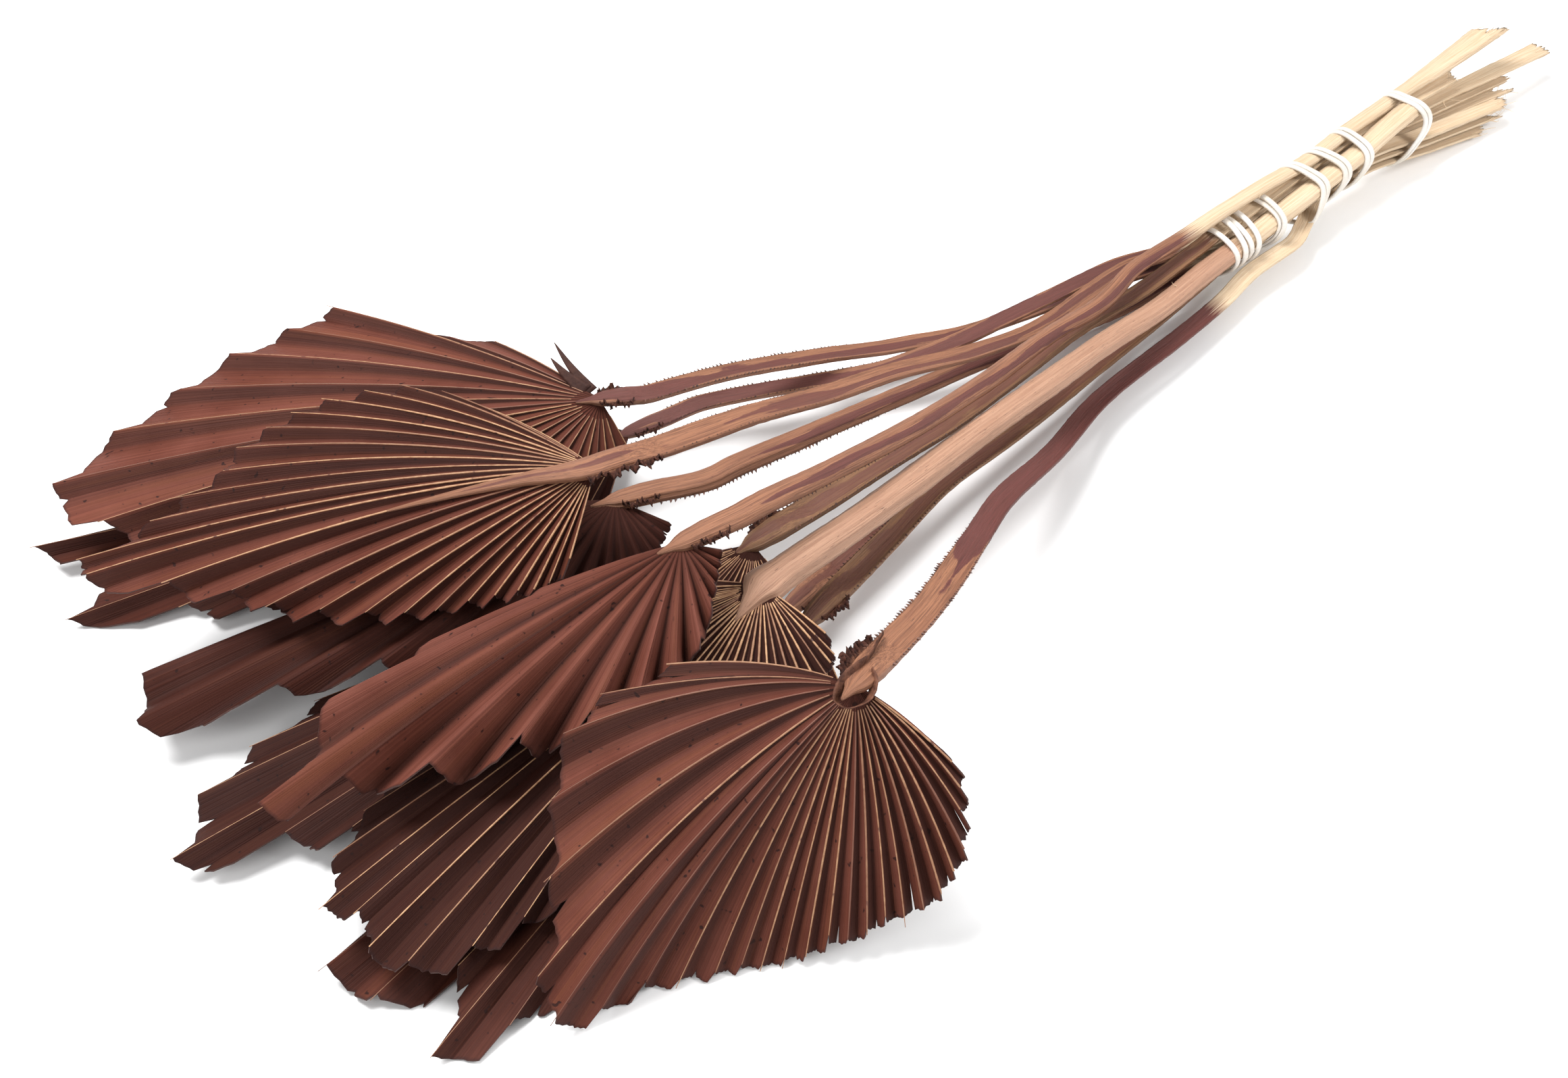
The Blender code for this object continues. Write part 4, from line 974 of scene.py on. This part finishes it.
# Torn lip of the front leaf: an open ring of brown leaf at the hub, with a strip that runs back up the
# channel, and two dark slivers that stand up beside the far leaf's hub. All are thin strips, torn by hand.
LIP_RING = ((-56.5, -103.2, 67.4), (-59.5, -107.2, 65.8), (-64.2, -109.4, 64.8), (-69.0, -108.2, 64.8),
    (-70.6, -105.2, 65.8), (-67.2, -102.6, 67.4), (-62.4, -101.4, 68.2), (-58.0, -100.4, 67.8),
    (-54.5, -99.4, 66.6), (-51.0, -97.4, 65.2), (-47.0, -94.8, 63.8), (-42.5, -92.2, 61.8))
LIP_MIDDLE, LIP_STEPS = (-63.5, -105.4, 67.6), 90
SLIVERS = (
    # foot, tip, half width at the foot
    ((-30.5, 63.0, 38.5), (-32.6, 78.5, 43.5), 2.4),
    ((-29.0, 61.5, 38.5), (-28.8, 81.5, 46.0), 2.0),
)


def torn_leaf():
    """Brown torn leaf with a fine grain, darkened by the share stored as dark."""
    made, tree, shader = shader_tree("torn_leaf", 0.7, specular=0.2)
    place = object_place(tree)
    grain = noise(tree, place, scale=420.0, detail=4.0)
    colour = mix_colours(tree, between(tree, grain, 0.35, 0.65), (0.05, 0.018, 0.011), (0.19, 0.078, 0.045))
    colour = mix_colours(tree, painted(tree, "dark"), colour, (0.03, 0.012, 0.010))
    tree.links.new(colour, shader.inputs["Base Color"])
    add_bump(tree, shader, grain, 0.0006)
    return made


def add_strip(name, line, outward, half_widths, dark, stalk_name):
    """A thin strip along a line, its width set out along the outward vectors."""
    across = np.linspace(-1, 1, 5)
    points = line[:, None] + across[None, :, None] * half_widths[:, None, None] * outward[:, None]
    darkness = np.full(points.shape[:2], dark).ravel()
    faces = grid_faces(len(line), len(across))
    strip = add_mesh(name, points, faces, leaf_torn, numbers={"dark": darkness})
    thicken(strip, FRILL_THICKNESS)
    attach(strip, "root")
    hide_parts("stalk_" + stalk_name)


leaf_torn = torn_leaf()
random = np.random.default_rng(450)
knots = np.array(LIP_RING)
steps = np.arange(LIP_STEPS)
line = curve_through(np.arange(len(knots)), knots, np.linspace(0, len(knots) - 1, LIP_STEPS))
lean = unit(line - np.array(LIP_MIDDLE)) * np.interp(steps, (0, 50, 60), (0.55, 0.55, 0.2))[:, None]
lean += (0.0, 0.0, 0.8)
wide = 1.5 + 0.3 * np.sin(np.linspace(0, 16, LIP_STEPS)) + random.normal(0, 0.08, LIP_STEPS)
wide *= np.interp(steps, (0, 6, 60, LIP_STEPS - 1), (0.3, 1, 1, 0.35))
add_strip("lip_ring", line, unit(lean), wide, 0.15, "10")
for number, (foot, tip, half_width) in enumerate(SLIVERS):
    share = np.linspace(0, 1, 16)
    line = np.array(foot) + (np.array(tip) - np.array(foot)) * share[:, None]
    line[:, 0] -= 0.7 * np.sin(math.pi * share)
    across = unit(np.cross(np.array(tip) - np.array(foot), (0.5, 0.6, -0.7)))
    outward = np.broadcast_to(across, line.shape)
    add_strip("sliver_%d" % number, line, outward, half_width * (1 - share) ** 0.8 + 0.08, 0.85, "01")

# Thorns: the margins of a palm stalk carry small hard teeth, darker than the stalk. They stand at even steps
# along both margins, most of them over the third of the stalk next to the leaf.
THORN_STRETCH = 105.0  # from the leaf, along the stalk
THORN_SPACING, THORN_LENGTH = 1.5, 1.25
THORNY = {"01": 1.0, "02": 0.8, "03": 0.55, "04": 1.15, "05": 0.7, "06": 0.9, "09": 0.9, "10": 1.1, "08": 0.8}


def thorn_tree():
    """Small cones stood at even steps along lines, each turned outward and sized at random."""
    tree, given = new_geometry_tree("thorns", {"Spacing": 0.0015, "Length": 0.001})
    lines = add_node(tree, "GeometryNodeMeshToCurve", {"Mesh": given.outputs["Geometry"]})
    feeds = {"Curve": lines.outputs[0], "Length": given.outputs["Spacing"]}
    even = add_node(tree, "GeometryNodeResampleCurve", feeds, mode="LENGTH")
    cone = add_node(tree, "GeometryNodeMeshCone",
        {"Vertices": 5, "Radius Top": 0.02, "Radius Bottom": 0.42, "Depth": 1.0})
    turned = add_node(tree, "FunctionNodeAlignRotationToVector",
        {"Vector": stored(tree, "outward", "FLOAT_VECTOR")}, axis="Z")
    chance = add_node(tree, "FunctionNodeRandomValue", {2: 0.25, 3: 1.0, 8: 7}, data_type="FLOAT")
    size = maths(tree, "MULTIPLY", chance.outputs[1], given.outputs["Length"])
    size = maths(tree, "MULTIPLY", size, stored(tree, "big"))
    feeds = {"Points": even.outputs[0], "Instance": cone.outputs[0]}
    feeds.update({"Rotation": turned.outputs[0], "Scale": size})
    end_tree(tree, given, add_node(tree, "GeometryNodeInstanceOnPoints", feeds).outputs[0])
    return tree


def thorn_brown():
    made, tree, shader = shader_tree("thorn_brown", 0.6)
    place = object_place(tree)
    grain = noise(tree, place, scale=300.0, detail=2.0)
    colour = mix_colours(tree, between(tree, grain, 0.35, 0.65), (0.035, 0.014, 0.012), (0.15, 0.062, 0.038))
    tree.links.new(colour, shader.inputs["Base Color"])
    return made


thorn_growing = thorn_tree()
thorn_wood = thorn_brown()
for stalk in stalks:
    if stalk["name"] not in THORNY:
        continue
    centres, side, above, place, joint_at, half_width, half_height = stalk["line"]
    lines, outward, big = [], [], []
    spread = (place > joint_at - THORN_STRETCH) & (place < joint_at - 3)
    fading = np.interp(joint_at - place[spread], (0, 60, THORN_STRETCH), (1.0, 0.9, 0.15))
    for corner in (0, BACK_POINTS - 1):
        line = stalk["points"][spread, corner]
        lines.append(line)
        away = unit(line - centres[spread])
        outward += list(unit(away + 0.35 * unit(np.gradient(centres, axis=0))[spread]))
        big += list(THORNY[stalk["name"]] * fading)
    thorns = add_lines("thorns_" + stalk["name"], lines, outward=outward, big=big)
    run_tree(thorns, thorn_growing, thorn_wood, Spacing=THORN_SPACING * MM, Length=THORN_LENGTH * MM)
    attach(thorns, "root")
    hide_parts("stalk_" + stalk["name"])

# Loose fibres: the cut ends are hacked through, so cream fibres stand out of them, and a few fine hairs have
# come off the stalks along the tie. Each is a hair-thin tube on a bent line, made by the tree for the ribs.
FIBRES_AT_AN_END, HAIRS_ON_A_STALK = 9, 3
FIBRE_LENGTHS, HAIR_LENGTHS, FIBRE_RADII = (5.5, 10.5), (2.0, 5.0), (0.09, 0.2)
HAIR_RINGS = (12, 70)  # counted from the cut end
LOWEST_FIBRE = 0.4


def fibre_line(start, way, length, random):
    share = np.linspace(0, 1, 7)
    bend = random.normal(0, 0.22, 3) * length
    return start + way * length * share[:, None] + bend * share[:, None] ** 2


lines, radii = [], []
random = np.random.default_rng(500)
for stalk in stalks:
    centres, rings = stalk["line"][0], stalk["points"]
    cut_way = unit(centres[0] - centres[2])
    starts = [(rings[3, k], cut_way + random.normal(0, 0.16, 3), random.uniform(*FIBRE_LENGTHS))
        for k in random.integers(0, rings.shape[1], FIBRES_AT_AN_END)]
    for ring in random.integers(*HAIR_RINGS, HAIRS_ON_A_STALK):
        k = random.integers(0, rings.shape[1])
        away = unit(rings[ring, k] - centres[ring])
        way = away + cut_way * random.choice((-1.2, 1.2))
        starts.append((rings[ring, k], way, random.uniform(*HAIR_LENGTHS)))
    for start, way, length in starts:
        line = fibre_line(start, unit(way), length, random)
        line[:, 2] = np.maximum(line[:, 2], LOWEST_FIBRE)
        lines.append(line)
        radii += list(random.uniform(*FIBRE_RADII) * np.linspace(1.0, 0.35, len(line)) * MM)
fibres = add_lines("loose_fibres", lines, radius=radii, past_dye=np.full(len(radii), 60.0))
run_tree(fibres, rib_growing, stalk_tan, Beading=0.1)
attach(fibres, "root")
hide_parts("stalk_03")

# Elastic band: one closed loop of off-white elastic, doubled and wound round the tied stalks, out towards the
# leaves and back. A row of its path is the turns made, counted from the far side over the top, then x, then
# the height over the stalks. It turns round an axis that rises towards the cut ends.
BAND_HALF_WIDTH, BAND_HALF_HEIGHT = 1.15, 0.6
BAND_CLEARANCE = 0.45
BAND_REACH = 4.0  # how far beside the end of a stalk the band is still held out by it
LOOSE_STALKS, LOOSE_UNTIL = ("05", "10"), 246  # outside the band, on the leaves' side of this x
BAND_AXIS = ((212, 0.5, 15), (259, 3.5, 18), (322, 6, 20))
BAND_OUT = (
    (0.0, 314, 0), (0.25, 312, 0), (0.45, 316, 0), (0.62, 305, 0), (0.9, 293, 0), (1.1, 277, 0),
    (1.4, 281, 0), (1.62, 275, 0), (1.85, 266, 0), (2.1, 261, 0), (2.4, 268, 0), (2.62, 261, 0),
    (2.85, 253, 0), (3.1, 247, 0), (3.4, 255, 0), (3.62, 247, 0), (3.85, 238, 0), (4.1, 229, 0),
    (4.4, 230, 0), (4.62, 225, 0), (4.85, 219, 0), (5.1, 214, 0), (5.4, 213, 0), (5.8, 209, 0),
    (6.1, 204, 0), (6.4, 204, 0), (6.8, 201, 0),
)
BAND_BACK = (
    (6.8, 203.5, 0), (6.4, 209, 0.6), (6.1, 211, 1.4), (5.8, 211, 1.4), (5.4, 217, 0.6), (5.1, 219, 0.2),
    (4.85, 222, 0.3), (4.62, 226, 1.2), (4.4, 231, 1.3), (4.1, 231, 1.2), (3.85, 241, 0), (3.62, 249.6, 0),
    (3.4, 257.6, 0), (3.1, 249.6, 0), (2.85, 255.6, 0), (2.62, 263.6, 0), (2.4, 270.6, 0), (2.1, 263.6, 0),
    (1.85, 268.6, 0), (1.62, 277.6, 0), (1.4, 283.6, 0), (1.1, 279.6, 0), (0.9, 295.6, 0), (0.62, 307.6, 0),
    (0.45, 318.6, 0), (0.25, 314.6, 0), (0.0, 316.6, 0),
)
BAND_STEPS_A_TURN, BAND_SIDES = 56, 12
SMOOTHED_OVER = 3  # steps to each side
SUPPORT_DIRECTIONS = 64
TORN_RINGS = 6  # at the cut end of a stalk


def held_sections(x):
    """The (y, z) of every corner of the stalks that the band holds at one place along X."""
    cut = []
    for stalk in stalks:
        if x < LOOSE_UNTIL and stalk["name"] in LOOSE_STALKS:
            continue
        rings = stalk["points"]
        if not rings[:, :, 0].min() - BAND_REACH < x < rings[:, :, 0].max() + BAND_REACH:
            continue
        straight = rings[TORN_RINGS:]
        for k in range(straight.shape[1]):
            line = straight[:, k]
            order = np.argsort(line[:, 0])
            cut.append([np.interp(x, line[order, 0], line[order, axis]) for axis in (1, 2)])
    return np.array(cut)


def taut_radius(sections, angle):
    """How far from the axis a taut band's middle lies at an angle, round the corners of the stalks."""
    directions = np.arange(SUPPORT_DIRECTIONS) * 2 * math.pi / SUPPORT_DIRECTIONS
    normals = np.stack([np.cos(directions), np.sin(directions)], axis=1)
    support = (sections @ normals.T).max(axis=0) + BAND_CLEARANCE + BAND_HALF_HEIGHT
    facing = np.cos(directions - angle)
    ahead = facing > 0.2
    return (support[ahead] / facing[ahead]).min()


def band_path():
    """Points along the band's middle, and the way outward at each."""
    axis_x, axis_y, axis_z = np.array(BAND_AXIS, float).T
    centres, outward = [], []
    for way in (BAND_OUT, BAND_BACK):
        turns, place = np.array(way, float)[:, 0], np.array(way, float)[:, 1:]
        knots = np.abs(turns - turns[0])
        steps = np.linspace(0, knots[-1], round(knots[-1] * BAND_STEPS_A_TURN))
        for done, (x, lift) in zip(steps, curve_through(knots, place, steps)):
            angle = 2 * math.pi * (turns[0] + done * np.sign(turns[-1] - turns[0]))
            axis = np.array((np.interp(x, axis_x, axis_y), np.interp(x, axis_x, axis_z)))
            out = np.array((0.0, math.cos(angle), math.sin(angle)))
            centres.append(np.array((x, *axis)) + out * (taut_radius(held_sections(x) - axis, angle) + lift))
            outward.append(out)
    return np.array(centres), np.array(outward)


def elastic_white():
    """Off-white covered elastic, a little yellowed, with a fine cross weave."""
    made, tree, shader = shader_tree("elastic_white", 0.7)
    along = painted(tree, "along", vector=True)
    place = object_place(tree)
    weave = noise(tree, along, detail=2.0)
    stain = noise(tree, place, scale=60.0, detail=2.0)
    colour = mix_colours(tree, between(tree, stain, 0.4, 0.65), (0.68, 0.655, 0.63), (0.60, 0.55, 0.48))
    threads = maths(tree, "MULTIPLY", between(tree, weave, 0.35, 0.7), 0.25)
    colour = mix_colours(tree, threads, colour, (0.55, 0.47, 0.36))
    tree.links.new(colour, shader.inputs["Base Color"])
    add_bump(tree, shader, weave, 0.0004)
    return made


centres, outward = band_path()
shifts = range(-SMOOTHED_OVER, SMOOTHED_OVER + 1)
smoothed = sum(np.roll(centres, shift, axis=0) for shift in shifts) / len(shifts)
ahead = unit(np.roll(smoothed, -1, axis=0) - np.roll(smoothed, 1, axis=0))
side = unit(np.cross(outward, ahead))
corner_angles = np.arange(BAND_SIDES) / BAND_SIDES * 2 * math.pi
flat_y = BAND_HALF_WIDTH * np.sign(np.cos(corner_angles)) * np.abs(np.cos(corner_angles)) ** 0.7
flat_z = BAND_HALF_HEIGHT * np.sign(np.sin(corner_angles)) * np.abs(np.sin(corner_angles)) ** 0.7
above = np.cross(ahead, side)
rings = smoothed[:, None] + flat_y[None, :, None] * side[:, None] + flat_z[None, :, None] * above[:, None]
run = np.concatenate([[0], np.cumsum(np.linalg.norm(np.diff(smoothed, axis=0), axis=1))])
weave_place = [(2.2 * length, 1.6 * y, 1.6 * z) for length in run for y, z in zip(flat_y, flat_z)]
faces = [tuple(reversed(face)) for face in grid_faces(len(rings), BAND_SIDES, closed=True)]
last = (len(rings) - 1) * BAND_SIDES
for k in range(BAND_SIDES):
    beyond = (k + 1) % BAND_SIDES
    faces.append((k, beyond, last + beyond, last + k))
band = add_mesh("elastic_loop", rings, faces, elastic_white(), numbers={"along": weave_place})
turn_faces_out(band)
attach(band, "root")
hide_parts("elastic_band")
